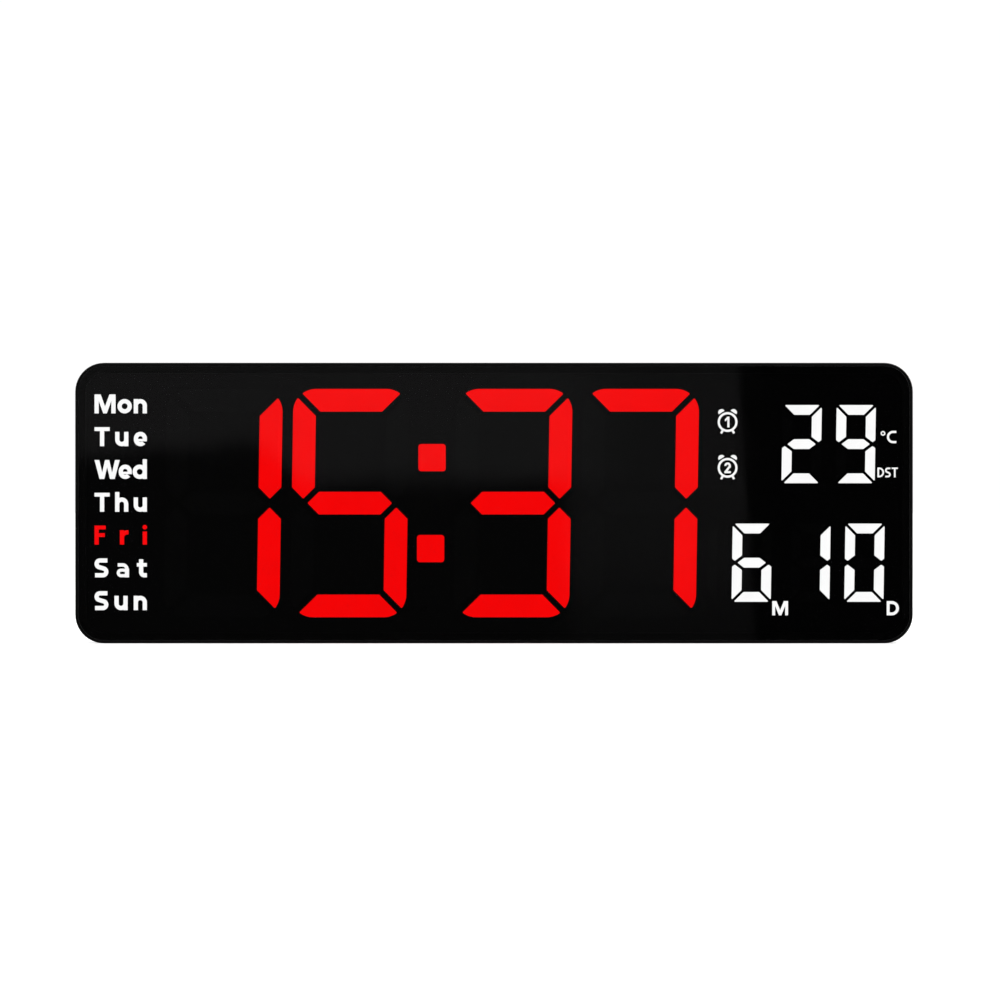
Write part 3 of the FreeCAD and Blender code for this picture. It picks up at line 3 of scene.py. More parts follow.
import bmesh
import bpy
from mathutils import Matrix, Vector

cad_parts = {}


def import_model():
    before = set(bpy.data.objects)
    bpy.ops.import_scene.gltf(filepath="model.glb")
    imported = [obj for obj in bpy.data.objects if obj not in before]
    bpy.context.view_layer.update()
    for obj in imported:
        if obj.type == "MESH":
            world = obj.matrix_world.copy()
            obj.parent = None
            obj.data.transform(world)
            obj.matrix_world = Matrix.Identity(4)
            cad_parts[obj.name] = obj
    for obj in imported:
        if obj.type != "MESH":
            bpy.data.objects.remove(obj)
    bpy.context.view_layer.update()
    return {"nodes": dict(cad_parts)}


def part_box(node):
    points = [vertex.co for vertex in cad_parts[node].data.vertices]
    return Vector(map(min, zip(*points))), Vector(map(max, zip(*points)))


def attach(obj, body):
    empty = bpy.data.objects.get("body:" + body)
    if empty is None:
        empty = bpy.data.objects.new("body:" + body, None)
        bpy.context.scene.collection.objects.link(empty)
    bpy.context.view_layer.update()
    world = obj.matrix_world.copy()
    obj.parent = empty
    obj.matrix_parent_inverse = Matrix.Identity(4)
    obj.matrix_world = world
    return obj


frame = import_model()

NODES = frame["nodes"]
MM = 0.001

PANEL_ALPHA = 0.42                               # how much each face of the panel hides
BEHIND_PANEL = 1.0 / (1.0 - PANEL_ALPHA) ** 2    # makes up for both faces where a window glows behind them
LABEL_Z = 76.0                                   # middle of the rating label, mm
LABEL_PRINT_Y = (13.735, 13.765)                 # the ink, half sunk in the label's face, mm
SIGN_PAINT_Y = (13.66, 13.86)                    # paint in the engraved signs, mm
SIGN_DROP = 13.5                                 # from the middle of a button down to its sign, mm
SOCKET_SIGN_X = 19.0                             # middle of the polarity sign on the label, mm

CAMERA_AWAY = 3.0                                # from the front face, m
VIEW_WIDTH = 0.4845                              # what the camera takes in at the front face, m
FRONT_Y, MIDDLE_Z = -0.014, 0.068                # the clock's front face and half its height, m


# ---------------------------------------------------------------- material helpers
def set_range(node, low, high, to_low, to_high):
    """Fill in a Map Range node's four limits."""
    for key, number in (("From Min", low), ("From Max", high), ("To Min", to_low), ("To Max", to_high)):
        node.inputs[key].default_value = number


class Paint:
    """A material with a Principled shader, and short names for the nodes that feed it."""

    def __init__(self, name, base=(0.5, 0.5, 0.5), rough=0.5, metal=0.0, **sockets):
        self.mat = bpy.data.materials.new(name)
        self.mat.use_nodes = True
        self.tree = self.mat.node_tree
        self.shader = self.tree.nodes["Principled BSDF"]
        self.set("Base Color", (*base, 1.0))
        self.set("Roughness", rough)
        self.set("Metallic", metal)
        for key, value in sockets.items():
            self.set(key.replace("_", " "), value)
        self.place = self.node("ShaderNodeTexCoord").outputs["Object"]
        self.bumps = None

    def set(self, socket, value):
        self.shader.inputs[socket].default_value = value

    def node(self, kind, **values):
        made = self.tree.nodes.new(kind)
        for key, value in values.items():
            setattr(made, key, value)
        return made

    def link(self, out, into):
        self.tree.links.new(out, into)

    def mapped(self, scale=(1, 1, 1), turn=(0, 0, 0)):
        made = self.node("ShaderNodeMapping")
        self.link(self.place, made.inputs["Vector"])
        made.inputs["Scale"].default_value = scale
        made.inputs["Rotation"].default_value = turn
        return made.outputs["Vector"]

    def noise(self, scale, detail=3.0, rough=0.55, place=None):
        made = self.node("ShaderNodeTexNoise")
        self.link(place or self.place, made.inputs["Vector"])
        made.inputs["Scale"].default_value = scale
        made.inputs["Detail"].default_value = detail
        made.inputs["Roughness"].default_value = rough
        return made.outputs["Fac"]

    def cells(self, scale, feature="F1", randomness=1.0):
        made = self.node("ShaderNodeTexVoronoi", feature=feature)
        self.link(self.place, made.inputs["Vector"])
        made.inputs["Scale"].default_value = scale
        made.inputs["Randomness"].default_value = randomness
        return made.outputs["Distance"]

    def math(self, kind, a, b=0.0, clamp=False):
        made = self.node("ShaderNodeMath", operation=kind, use_clamp=clamp)
        for i, value in enumerate((a, b)):
            if isinstance(value, (int, float)):
                made.inputs[i].default_value = value
            else:
                self.link(value, made.inputs[i])
        return made.outputs[0]

    def spread(self, value, low, high, to_low=0.0, to_high=1.0, smooth=False):
        made = self.node("ShaderNodeMapRange")
        made.interpolation_type = "SMOOTHSTEP" if smooth else "LINEAR"
        self.link(value, made.inputs["Value"])
        set_range(made, low, high, to_low, to_high)
        return made.outputs["Result"]

    def axis(self, letter, place=None):
        made = self.node("ShaderNodeSeparateXYZ")
        self.link(place or self.place, made.inputs[0])
        return made.outputs[letter]

    def mixed(self, share, a, b):
        """A colour between a and b; each is three numbers or a colour output."""
        made = self.node("ShaderNodeMix", data_type="RGBA")
        self.link(share, made.inputs[0])
        for slot, value in ((6, a), (7, b)):
            if isinstance(value, tuple):
                made.inputs[slot].default_value = (*value, 1.0)
            else:
                self.link(value, made.inputs[slot])
        return made.outputs[2]

    def colour(self, out, socket="Base Color"):
        self.link(out, self.shader.inputs[socket])
        return self

    def roughness(self, out):
        self.link(out, self.shader.inputs["Roughness"])
        return self

    def bump(self, height, distance, strength=1.0):
        made = self.node("ShaderNodeBump")
        made.inputs["Strength"].default_value = strength
        made.inputs["Distance"].default_value = distance
        self.link(height, made.inputs["Height"])
        if self.bumps:
            self.link(self.bumps, made.inputs["Normal"])
        self.bumps = made.outputs["Normal"]
        self.link(self.bumps, self.shader.inputs["Normal"])
        return self


CASE_TONES = ((0.0105, 0.0105, 0.011), (0.023, 0.023, 0.024), (0.4, 0.6))    # dark, light, roughness


def moulded(name, dark, light, rough, grain_mm=0.7, depth_mm=0.03, level=0.5):
    """Spark-textured moulded plastic: pitted grain, slow blotches, hairline scratches and a rubbed look."""
    p = Paint(name, dark, rough[0], Specular_IOR_Level=level)
    grain = p.cells(1000.0 / grain_mm)
    blotch = p.noise(45.0, 4.0, 0.6)
    fine = p.noise(2600.0, 2.0, 0.6)
    scratch = p.noise(160.0, 2.0, 0.5, p.mapped((0.06, 1.0, 1.0), (0.0, 0.5, 0.0)))
    rubbed = p.spread(scratch, 0.66, 0.72, 0.0, 0.35)
    mottle = p.math("ADD", p.spread(blotch, 0.3, 0.7, 0.0, 0.45), p.spread(fine, 0.35, 0.75, 0.0, 0.3))
    pits = p.spread(grain, 0.1, 0.7, 0.0, 0.25)
    share = p.math("ADD", p.math("ADD", mottle, pits), rubbed, clamp=True)
    p.colour(p.mixed(share, dark, light))
    worn = p.math("ADD", blotch, p.math("MULTIPLY", fine, 0.35))
    p.roughness(p.spread(worn, 0.45, 0.9, rough[0], rough[1]))
    p.bump(fine, 0.6 * depth_mm * MM, 0.5)
    return p.bump(grain, depth_mm * MM, 0.8)


def front_frame_with_painted_shade():
    """The rear shell's plastic. Its faces that look forwards, round the panel, are painted near-black and
    more matt: painted shade for a dark rim.
    """
    p = moulded("case_front_painted_shade", *CASE_TONES, level=0.15)
    painted_shade_facing = p.node("ShaderNodeTexCoord").outputs["Normal"]
    side = p.spread(p.axis("Y", painted_shade_facing), -0.75, -0.25, 0.0, 1.0, True)
    below = p.shader.inputs["Base Color"].links[0].from_socket
    speck = p.spread(p.noise(2600.0, 2.0, 0.6), 0.4, 0.8)
    # Faces that look forwards get a near-black colour with a fine speck: painted shade round the panel. The
    # sides keep the moulded plastic.
    p.colour(p.mixed(side, p.mixed(speck, (0.0009, 0.0009, 0.0009), (0.0016, 0.0016, 0.0017)), below))
    rough = p.shader.inputs["Roughness"].links[0].from_socket
    return p.roughness(p.math("ADD", rough, p.spread(side, 0.0, 1.0, 0.3, 0.0), clamp=True))


def steel(name, base, rough=(0.22, 0.4), along=(1, 1, 1), scale=900.0):
    """Metal with fine drawn lines and slight staining."""
    p = Paint(name, base, rough[0], 1.0)
    lines = p.noise(scale, 5.0, 0.7, p.mapped(along))
    stain = p.noise(160.0, 3.0, 0.5)
    p.colour(p.mixed(p.spread(stain, 0.35, 0.7), base, tuple(0.72 * c for c in base)))
    p.roughness(p.spread(lines, 0.3, 0.7, rough[0], rough[1]))
    return p.bump(lines, 0.004 * MM, 0.4)


def glowing(name, hue, strength, edge):
    """A lit window: a milky light guide whose glow falls to edge times its strength between its lamps."""
    p = Paint(name, (0.002, 0.002, 0.002), 0.6, Specular_IOR_Level=0.05)
    cloud = p.noise(75.0, 2.0, 0.5)
    fleck = p.noise(1500.0, 2.0, 0.6)
    both = p.math("ADD", p.math("MULTIPLY", cloud, 0.7), p.math("MULTIPLY", fleck, 0.3))
    share = p.spread(both, 0.38, 0.56, 0.0, 1.0, True)
    p.colour(p.mixed(share, tuple(edge * c for c in hue), hue), "Emission Color")
    p.set("Emission Strength", strength)
    return p.bump(fleck, 0.01 * MM, 0.3)


# ---------------------------------------------------------------- materials
def panel_paint():
    """Polished smoked acrylic over a black print."""
    p = Paint("smoked_acrylic", (0.0006, 0.0006, 0.0007), 0.02, IOR=1.49, Alpha=PANEL_ALPHA)
    haze = p.noise(38.0, 4.0, 0.6)
    wipe = p.noise(420.0, 3.0, 0.65, p.mapped((1.0, 1.0, 0.08), (0.0, 0.35, 0.0)))
    p.roughness(p.spread(p.math("ADD", haze, p.math("MULTIPLY", wipe, 0.4)), 0.5, 1.0, 0.012, 0.045))
    return p.bump(p.noise(7.0, 0.0, 0.4), 0.002 * MM, 0.1)


def print_paint():
    p = Paint("black_print", (0.0006, 0.0006, 0.0006), 0.75, Specular_IOR_Level=0.05)
    dust = p.noise(3200.0, 3.0, 0.7)
    p.colour(p.mixed(p.spread(dust, 0.5, 0.85), (0.0004, 0.0004, 0.0004), (0.0011, 0.0011, 0.0011)))
    return p.bump(dust, 0.004 * MM, 0.3)


def dark_window_paint():
    """An unlit window: smoky plastic, just lighter than the print around it."""
    p = Paint("dark_window", (0.0015, 0.0015, 0.0016), 0.55, Specular_IOR_Level=0.1)
    cloud = p.noise(60.0, 3.0, 0.55)
    p.colour(p.mixed(p.spread(cloud, 0.3, 0.7), (0.0016, 0.0016, 0.0017), (0.0026, 0.0026, 0.0028)))
    return p.bump(p.cells(2200.0), 0.006 * MM, 0.3)


def board_paint():
    """Solder mask with buried copper: tracks show as slightly lighter lines."""
    p = Paint("circuit_board", (0.01, 0.09, 0.035), 0.28, Coat_Weight=0.3)
    block = p.node("ShaderNodeTexBrick", offset=0.35, squash=1.0)
    p.link(p.mapped((1.0, 1.0, 1.0), (math.pi / 2, 0, 0)), block.inputs["Vector"])
    for key, value in (("Scale", 70.0), ("Mortar Size", 0.035), ("Mortar Smooth", 0.2), ("Brick Width", 1.1),
                       ("Row Height", 0.22)):
        block.inputs[key].default_value = value
    p.colour(p.mixed(block.outputs["Fac"], (0.008, 0.075, 0.03), (0.02, 0.16, 0.06)))
    weave = p.cells(1400.0, feature="SMOOTH_F1", randomness=0.2)
    p.bump(block.outputs["Fac"], 0.03 * MM, 0.6)
    return p.bump(weave, 0.004 * MM, 0.3)


def layered(name, lower, upper, level_mm, rough=(0.3, 0.5), metal=(1.0, 0.0), upper_in_front=False):
    """Two finishes on one node, split at a depth: the package on one side, its leads on the other."""
    rough_low, rough_up = rough
    p = Paint(name, upper, rough_up)
    blur = 0.02
    side = p.spread(p.axis("Y"), (level_mm - blur) * MM, (level_mm + blur) * MM, 0.0, 1.0)
    if upper_in_front:
        side = p.math("SUBTRACT", 1.0, side)
    speck = p.noise(2200.0, 3.0, 0.6)
    p.colour(p.mixed(side, p.mixed(speck, tuple(0.7 * c for c in lower), lower),
                     p.mixed(speck, tuple(0.8 * c for c in upper), tuple(min(1.15 * c, 1) for c in upper))))
    p.link(p.spread(side, 0, 1, *metal), p.shader.inputs["Metallic"])
    p.roughness(p.spread(side, 0, 1, rough_low, rough_up))
    return p.bump(speck, 0.006 * MM, 0.4)


def rubber_paint(name, base):
    p = Paint(name, base, 0.85, Specular_IOR_Level=0.15)
    crumb = p.noise(1700.0, 4.0, 0.7)
    p.colour(p.mixed(p.spread(crumb, 0.4, 0.75), base, tuple(1.8 * c for c in base)))
    return p.bump(crumb, 0.03 * MM, 0.6)


def plain_plastic(name, base, rough=0.4, grain=900.0, level=0.5):
    p = Paint(name, base, rough, Specular_IOR_Level=level)
    cloud = p.noise(grain, 3.0, 0.6)
    p.colour(p.mixed(p.spread(cloud, 0.3, 0.7), tuple(0.86 * c for c in base), base))
    p.roughness(p.spread(cloud, 0.3, 0.7, rough, rough + 0.12))
    return p.bump(cloud, 0.008 * MM, 0.35)


RED, SMALL_RED, WHITE = (1.0, 0.0, 0.0006), (1.0, 0.002, 0.003), (1.0, 1.0, 1.0)
LOOKS = {
    "front_panel": panel_paint(),
    "mask_plate": print_paint(),
    "front_frame": front_frame_with_painted_shade(),
    "rear_cover": moulded("case_rear", *CASE_TONES),
    "battery_door": moulded("door_plastic", (0.012, 0.012, 0.0125), (0.025, 0.025, 0.026), (0.4, 0.58)),
    "leg": moulded("leg_plastic", (0.009, 0.009, 0.0095), (0.02, 0.02, 0.0206), (0.34, 0.5), grain_mm=0.6),
    "button": moulded("button_plastic", (0.05, 0.05, 0.053), (0.085, 0.085, 0.089), (0.32, 0.44),
                      grain_mm=0.35, depth_mm=0.012),
    "dark": dark_window_paint(),
    "red": glowing("red_glow", RED, 0.905 * BEHIND_PANEL, 0.965),
    "today": glowing("red_glow_small", SMALL_RED, 0.945 * BEHIND_PANEL, 0.97),
    "white": glowing("white_glow", WHITE, 0.98 * BEHIND_PANEL, 0.97),
    "milky": plain_plastic("milky_sheet", (0.72, 0.72, 0.72), 0.6, 500.0),
    "reflector": plain_plastic("white_reflector", (0.82, 0.82, 0.80), 0.42, 700.0),
    "tape": rubber_paint("foam_tape", (0.0009, 0.0009, 0.0009)),
    "pad": rubber_paint("pad_rubber", (0.016, 0.016, 0.0165)),
    "board": board_paint(),
    "leds": layered("led_package", (0.85, 0.84, 0.8), (0.78, 0.62, 0.12), -4.1,
                    rough=(0.35, 0.25), metal=(0.0, 0.0), upper_in_front=True),
    "chips": layered("chip_package", (0.75, 0.73, 0.68), (0.016, 0.016, 0.017), -0.69),
    "cans": layered("capacitor_can", (0.02, 0.02, 0.02), (0.78, 0.78, 0.77), -0.16,
                    rough=(0.5, 0.3), metal=(0.0, 1.0)),
    "sounder": plain_plastic("sounder_case", (0.02, 0.02, 0.021), 0.38),
    "bead": plain_plastic("bead_epoxy", (0.03, 0.07, 0.18), 0.2),
    "receiver": plain_plastic("filter_epoxy", (0.0012, 0.0006, 0.0015), 0.3, level=0.06),
    "photocell": plain_plastic("photocell_resin", (0.0016, 0.001, 0.0008), 0.4, level=0.06),
    "socket": plain_plastic("socket_plastic", (0.014, 0.014, 0.014), 0.4),
    "plated": steel("nickel_plate", (0.72, 0.69, 0.6), (0.12, 0.25)),
    "cell": steel("cell_steel", (0.6, 0.6, 0.58), (0.18, 0.34), (1, 1, 0.05), 1400.0),
    "screws": steel("screw_steel", (0.5, 0.5, 0.51), (0.24, 0.42)),
    "pins": steel("pin_steel", (0.62, 0.62, 0.63), (0.2, 0.3), (0.02, 1, 1), 2500.0),
    "switch": plain_plastic("switch_plastic", (0.02, 0.02, 0.02), 0.5),
    "plunger": plain_plastic("plunger_plastic", (0.74, 0.73, 0.7), 0.35),
}
WHO = {
    "front_panel": "front_panel", "mask_plate": "mask_plate", "front_frame": "front_frame",
    "rear_cover": "rear_cover", "battery_door": "battery_door", "leg_left": "leg", "leg_right": "leg",
    "set_button": "button", "up_button": "button", "down_button": "button", "colon_dots": "red",
    "today_letters": "today", "weekday_letters": "white", "alarm_icons": "white", "unit_legends": "white",
    "temperature_segments_lit": "white", "date_segments_lit": "white", "diffuser_sheet": "milky",
    "light_box": "reflector", "panel_tape": "tape", "leg_pad_left": "pad", "leg_pad_right": "pad",
    "display_board": "board", "time_leds": "leds", "small_digit_leds": "leds", "legend_leds": "leds",
    "driver_chips": "chips", "control_chip": "chips", "regulator": "chips", "resistors": "chips",
    "capacitors": "cans", "clock_crystal": "plated", "buzzer": "sounder", "temperature_sensor": "bead",
    "remote_receiver": "receiver", "light_sensor": "photocell", "power_socket": "socket",
    "socket_pin": "plated", "cell_contacts": "plated", "coin_cell": "cell", "case_screws": "screws",
    "board_screws": "screws", "leg_pin_left": "pins", "leg_pin_right": "pins", "switch_bodies": "switch",
    "set_switch_plunger": "plunger", "up_switch_plunger": "plunger", "down_switch_plunger": "plunger",
}
for name, node in NODES.items():
    if name.endswith("segments_dark"):
        look = "dark"
    elif name.startswith(("hour", "minute")):
        look = "red"
    else:
        look = WHO[name]
    for slot in node.material_slots:
        slot.material = LOOKS[look].mat


# ---------------------------------------------------------------- pieces
def piece(name, mesh, paint, body="clock"):
    made = bpy.data.objects.new(name, mesh)
    bpy.context.collection.objects.link(made)
    made.data.materials.append(paint.mat)
    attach(made, body)


def rounded(width, height, radius, steps=8):
    """A rounded rectangle's (x, z) points about the origin, anticlockwise seen from the rear."""
    points = []
    for cx, cz, start in ((1, 1, 0), (-1, 1, 90), (-1, -1, 180), (1, -1, 270)):
        for i in range(steps + 1):
            turn = math.radians(start + 90.0 * i / steps)
            points.append((cx * (width / 2 - radius) + radius * math.cos(turn),
                           cz * (height / 2 - radius) + radius * math.sin(turn)))
    return points


def add_plate(bm, points, x, z, y0, y1, hole=None):
    """A flat plate in millimetres over (x, z) points, from y0 to y1. A hole has as many points."""
    def ring(source, y):
        return [bm.verts.new(((x + u) * MM, y * MM, (z + v) * MM)) for u, v in source]

    low, high = ring(points, y0), ring(points, y1)
    count = len(points)
    for i in range(count):
        j = (i + 1) % count
        bm.faces.new((low[i], high[i], high[j], low[j]))
    if hole is None:
        bm.faces.new(low)
        bm.faces.new(list(reversed(high)))
        return
    in_low, in_high = ring(hole, y0), ring(hole, y1)
    for i in range(count):
        j = (i + 1) % count
        bm.faces.new((in_low[j], in_high[j], in_high[i], in_low[i]))
        bm.faces.new((low[j], in_low[j], in_low[i], low[i]))
        bm.faces.new((high[i], in_high[i], in_high[j], high[j]))


def plate_mesh(name, plates):
    bm = bmesh.new()
    for plate in plates:
        add_plate(bm, *plate)
    bmesh.ops.recalc_face_normals(bm, faces=bm.faces)
    mesh = bpy.data.meshes.new(name)
    bm.to_mesh(mesh)
    bm.free()
    return mesh


def circle(radius, steps=32):
    turns = [2 * math.pi * i / steps for i in range(steps)]
    return [(radius * math.cos(turn), radius * math.sin(turn)) for turn in turns]


def middle_x(node):
    """A node's middle across the clock, in millimetres."""
    low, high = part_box(node)
    return (low[0] + high[0]) / 2 / MM


def paint_inlays():
    """White paint in the engraved signs under the buttons."""
    white = Paint("sign_paint", (0.62, 0.62, 0.6), 0.6)
    wear = white.noise(1300.0, 4.0, 0.65)
    white.colour(white.mixed(white.spread(wear, 0.35, 0.6), (0.42, 0.42, 0.41), (0.66, 0.66, 0.64)))
    white.bump(wear, 0.02 * MM, 0.5)
    low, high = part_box("down_button")
    z = (low[2] + high[2]) / 2 / MM - SIGN_DROP
    y0, y1 = SIGN_PAINT_Y
    down, up, choose = (middle_x(name) for name in ("down_button", "up_button", "set_button"))
    plates = [(rounded(4.6, 0.7, 0.3), down, z, y0, y1), (rounded(4.6, 0.7, 0.3), up, z, y0, y1)]
    for side in (-1, 1):
        plates.append((rounded(0.7, 1.93, 0.3), up, z + side * 1.33, y0, y1))
    plates.append((circle(2.3), choose, z, y0, y1, circle(1.6)))
    plates.append((circle(0.6), choose, z, y0, y1))
    piece("button_sign_paint", plate_mesh("button_sign_paint", plates), white)


def rating_plate():
    """A satin label in the shallow recess, with a rule round it and the socket's polarity sign."""
    silver = Paint("label_film", (0.30, 0.30, 0.31), 0.42, 0.25)
    brushed = silver.noise(900.0, 4.0, 0.7, silver.mapped((0.03, 1, 1)))
    silver.colour(silver.mixed(silver.spread(brushed, 0.3, 0.7), (0.26, 0.26, 0.27), (0.36, 0.36, 0.37)))
    silver.roughness(silver.spread(brushed, 0.3, 0.7, 0.36, 0.5))
    silver.bump(brushed, 0.004 * MM, 0.4)
    ink = Paint("label_ink", (0.02, 0.02, 0.022), 0.55)
    grain = ink.noise(2400.0, 3.0, 0.6)
    ink.colour(ink.mixed(ink.spread(grain, 0.4, 0.7), (0.014, 0.014, 0.015), (0.035, 0.035, 0.037)))
    ink.bump(grain, 0.004 * MM, 0.3)
    z = LABEL_Z
    film = plate_mesh("rating_label", [(rounded(74.6, 24.6, 1.6), 0, z, 13.58, 13.74)])
    piece("rating_label", film, silver)
    y0, y1 = LABEL_PRINT_Y
    plates = [(rounded(72.6, 22.6, 1.2), 0, z, y0, y1, rounded(71.8, 21.8, 0.8))]
    for i in range(3):
        plates.append((rounded(34.0, 0.35, 0.16, 3), -16.5, z + 5.4 - 5.4 * i, y0, y1))
    plates.append((rounded(0.35, 17.0, 0.16, 3), 3.5, z, y0, y1))
    x, reach = SOCKET_SIGN_X, 8.6
    plates.append((circle(1.7), x, z, y0, y1, circle(1.3)))
    plates.append((circle(0.75), x, z, y0, y1))
    for side in (-1, 1):
        plates.append((circle(1.9), x + side * reach, z, y0, y1, circle(1.6)))
        plates.append((rounded(1.9, 0.4, 0.15, 3), x + side * reach, z, y0, y1))
        plates.append((rounded(4.2, 0.4, 0.15, 3), x + side * 4.4, z, y0, y1))
    for part in (-1, 1):
        plates.append((rounded(0.4, 0.74, 0.15, 3), x - reach, z + part * 0.6, y0, y1))
    piece("rating_label_print", plate_mesh("rating_label_print", plates), ink)


def vent_gauze():
    """A woven dust screen behind the two rows of vents."""
    gauze = Paint("dust_gauze", (0.02, 0.02, 0.021), 0.7)
    pitch = 9000.0                               # radians a metre: a thread every 0.7 mm
    warp = gauze.math("SINE", gauze.math("MULTIPLY", gauze.axis("X"), pitch))
    weft = gauze.math("SINE", gauze.math("MULTIPLY", gauze.axis("Z"), pitch))
    cloth = gauze.math("MULTIPLY", warp, weft)
    gauze.colour(gauze.mixed(gauze.spread(cloth, -1, 1), (0.006, 0.006, 0.006), (0.03, 0.03, 0.031)))
    gauze.bump(cloth, 0.05 * MM, 0.7)
    plates = [(rounded(98.0, 30.5, 2.0), 0, 110.5, 11.55, 11.85)]
    piece("vent_gauze", plate_mesh("vent_gauze", plates), gauze)


def leg_grips():
    """Six moulded finger ridges across the outer face of each leg."""
    lowest, step = 24.0, 2.2
    for side in ("left", "right"):
        x = middle_x("leg_" + side)
        plates = [(rounded(11.0, 0.9, 0.42, 4), x, lowest + step * i, 13.6, 13.93) for i in range(6)]
        name = "leg_ridges_" + side
        piece(name, plate_mesh(name, plates), LOOKS["leg"], side + "_leg")


paint_inlays()
rating_plate()
vent_gauze()
leg_grips()


# ---------------------------------------------------------------- stage
def floor():
    p = Paint("floor_paint_with_painted_glow", (0.86, 0.86, 0.86), 0.9, Specular_IOR_Level=0.0)
    soft = p.noise(3.0, 2.0, 0.5)
    p.colour(p.mixed(soft, (0.85, 0.85, 0.85), (0.87, 0.87, 0.87)))
    # The floor glows white, at 0.55 near the clock and rising to full strength 2 m out: painted light on the
    # floor, so the far floor reads as white.
    p.set("Emission Color", (1.0, 1.0, 1.0, 1.0))
    painted_glow_distance = p.node("ShaderNodeVectorMath", operation="LENGTH")
    p.link(p.place, painted_glow_distance.inputs[0])
    p.link(p.spread(painted_glow_distance.outputs["Value"], 0.3, 2.0, 0.55, 1.0, True), p.shader.inputs["Emission Strength"])
    mesh = bpy.data.meshes.new("floor")
    r = 30.0                                     # half its side, m
    mesh.from_pydata([(-r, -r, 0), (r, -r, 0), (r, r, 0), (-r, r, 0)], [], [(0, 1, 2, 3)])
    made = bpy.data.objects.new("floor", mesh)
    made.data.materials.append(p.mat)
    made.location.z = -0.00005
    bpy.context.collection.objects.link(made)
    made.visible_glossy = False


def reflector_card():
    """A dim grey card behind the camera, which the glossy panel mirrors. It ends in a slanted edge."""
    mat = bpy.data.materials.new("reflector_card")
    mat.use_nodes = True
    tree = mat.node_tree
    tree.nodes.clear()
    out = tree.nodes.new("ShaderNodeOutputMaterial")
    glow = tree.nodes.new("ShaderNodeEmission")
    tree.links.new(glow.outputs[0], out.inputs["Surface"])
    place = tree.nodes.new("ShaderNodeTexCoord").outputs["Object"]
    split = tree.nodes.new("ShaderNodeSeparateXYZ")
    tree.links.new(place, split.inputs[0])
    haze = tree.nodes.new("ShaderNodeTexNoise")
    tree.links.new(place, haze.inputs["Vector"])
    haze.inputs["Scale"].default_value = 6.5
    haze.inputs["Detail"].default_value = 1.5
    haze.inputs["Roughness"].default_value = 0.4

    def maths(kind, a, b):
        made = tree.nodes.new("ShaderNodeMath")
        made.operation = kind
        for i, value in enumerate((a, b)):
            if isinstance(value, (int, float)):
                made.inputs[i].default_value = value
            else:
                tree.links.new(value, made.inputs[i])
        return made.outputs[0]

    def spread(value, *limits):
        made = tree.nodes.new("ShaderNodeMapRange")
        made.interpolation_type = "SMOOTHSTEP"
        tree.links.new(value, made.inputs["Value"])
        set_range(made, *limits)
        return made.outputs["Result"]

    x, z = split.outputs["X"], split.outputs["Z"]
    wavy = maths("ADD", z, maths("MULTIPLY", maths("SUBTRACT", haze.outputs["Fac"], 0.5), 0.06))
    line = spread(x, -0.25, -0.17, 0.054, 0.016)
    above = spread(maths("SUBTRACT", wavy, line), -0.012, 0.014, 0.0, 1.0)
    top = spread(x, 0.05, 0.15, 0.277, 0.193)
    low = maths("MULTIPLY", spread(z, -0.13, -0.04, 0.085, 0.17), spread(x, 0.045, 0.085, 0.0, 1.0))
    low = maths("MAXIMUM", low, 0.036)
    tone = maths("ADD", maths("MULTIPLY", above, top), maths("MULTIPLY", maths("SUBTRACT", 1.0, above), low))
    edge = maths("ADD", x, maths("MULTIPLY", z, 0.0607))
    tone = maths("ADD", maths("MULTIPLY", tone, spread(edge, 0.2405, 0.2475, 1.0, 0.0)), 0.012)
    tree.links.new(tone, glow.inputs["Strength"])
    mesh = bpy.data.meshes.new("reflector_card")
    w, h = 0.9, 0.45                             # half its sides, m
    mesh.from_pydata([(-w, 0, -h), (w, 0, -h), (w, 0, h), (-w, 0, h)], [], [(0, 1, 2, 3)])
    made = bpy.data.objects.new("reflector_card", mesh)
    made.data.materials.append(mat)
    behind = 0.05                                # past the camera, m
    made.location = (0.0, FRONT_Y - CAMERA_AWAY - behind, MIDDLE_Z)
    bpy.context.collection.objects.link(made)
    made.visible_camera = made.visible_diffuse = made.visible_shadow = False


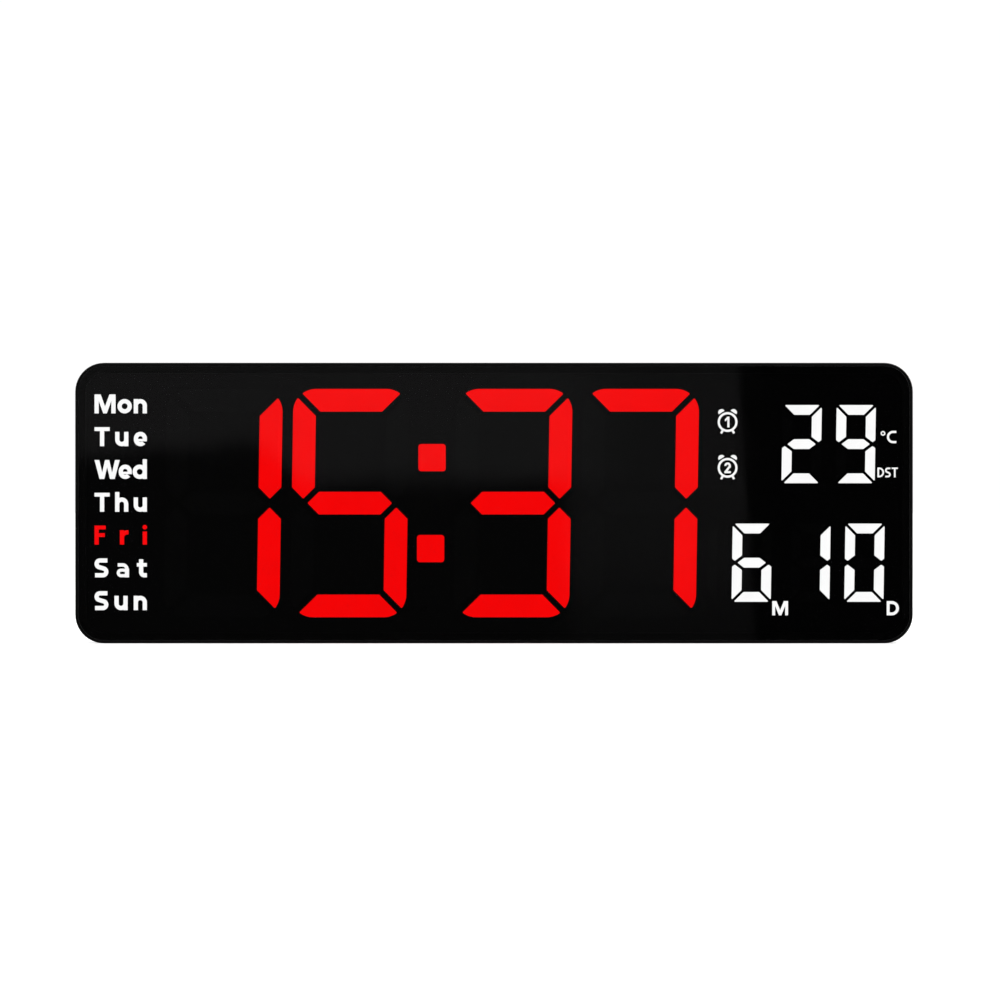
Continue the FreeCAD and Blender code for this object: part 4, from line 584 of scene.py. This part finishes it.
def world():
    """White to the eye, a soft even sky for matt surfaces, and a dim studio for glossy ones."""
    made = bpy.data.worlds.new("studio")
    made.use_nodes = True
    tree = made.node_tree
    tree.nodes.clear()
    out = tree.nodes.new("ShaderNodeOutputWorld")
    path = tree.nodes.new("ShaderNodeLightPath")
    seen, matt, gloss = (tree.nodes.new("ShaderNodeBackground") for _ in range(3))
    seen.inputs["Color"].default_value = (1, 1, 1, 1)
    seen.inputs["Strength"].default_value = 1.02
    matt.inputs["Color"].default_value = (1, 1, 1, 1)
    matt.inputs["Strength"].default_value = 0.42
    way = tree.nodes.new("ShaderNodeSeparateXYZ")
    tree.links.new(tree.nodes.new("ShaderNodeTexCoord").outputs["Generated"], way.inputs[0])
    forward = tree.nodes.new("ShaderNodeMapRange")
    forward.interpolation_type = "SMOOTHSTEP"
    tree.links.new(way.outputs["Y"], forward.inputs["Value"])
    set_range(forward, -0.97, -0.80, 0.03, 0.34)
    tree.links.new(forward.outputs["Result"], gloss.inputs["Strength"])
    first, last = tree.nodes.new("ShaderNodeMixShader"), tree.nodes.new("ShaderNodeMixShader")
    tree.links.new(path.outputs["Is Glossy Ray"], first.inputs[0])
    tree.links.new(matt.outputs[0], first.inputs[1])
    tree.links.new(gloss.outputs[0], first.inputs[2])
    tree.links.new(path.outputs["Is Camera Ray"], last.inputs[0])
    tree.links.new(first.outputs[0], last.inputs[1])
    tree.links.new(seen.outputs[0], last.inputs[2])
    tree.links.new(last.outputs[0], out.inputs["Surface"])
    bpy.context.scene.world = made


def softbox(name, place, size, power, aim=(0.0, 0.0, 0.06)):
    light = bpy.data.lights.new(name, "AREA")
    light.shape = "RECTANGLE"
    light.size, light.size_y = size
    light.energy = power
    made = bpy.data.objects.new(name, light)
    made.location = place
    made.rotation_euler = (Vector(aim) - Vector(place)).to_track_quat("-Z", "Y").to_euler()
    bpy.context.collection.objects.link(made)


def camera():
    """Straight on, a long way off, so that the front looks as flat as it is."""
    made = bpy.data.objects.new("camera", bpy.data.cameras.new("camera"))
    sensor, right, up = 36.0, 0.0029, 0.0015     # mm, and how far it stands off the clock's middle, m
    made.data.sensor_width = sensor
    made.data.lens = sensor * CAMERA_AWAY / VIEW_WIDTH
    made.location = (right, FRONT_Y - CAMERA_AWAY, MIDDLE_Z + up)
    made.rotation_euler = (math.radians(90), 0, 0)
    made.data.clip_end = 200.0
    bpy.context.collection.objects.link(made)
    bpy.context.scene.camera = made


floor()
reflector_card()
world()
softbox("key", (-1.1, -0.9, 1.6), (1.3, 0.9), 16.0)
softbox("fill", (1.3, -0.7, 0.9), (0.9, 0.9), 7.0)
softbox("back", (0.8, 1.5, 1.3), (1.2, 0.9), 16.0)
softbox("back_low", (-1.2, 1.1, 0.5), (0.8, 0.6), 6.0)
camera()
view = bpy.context.scene.view_settings
view.view_transform = "Standard"
view.look = "None"
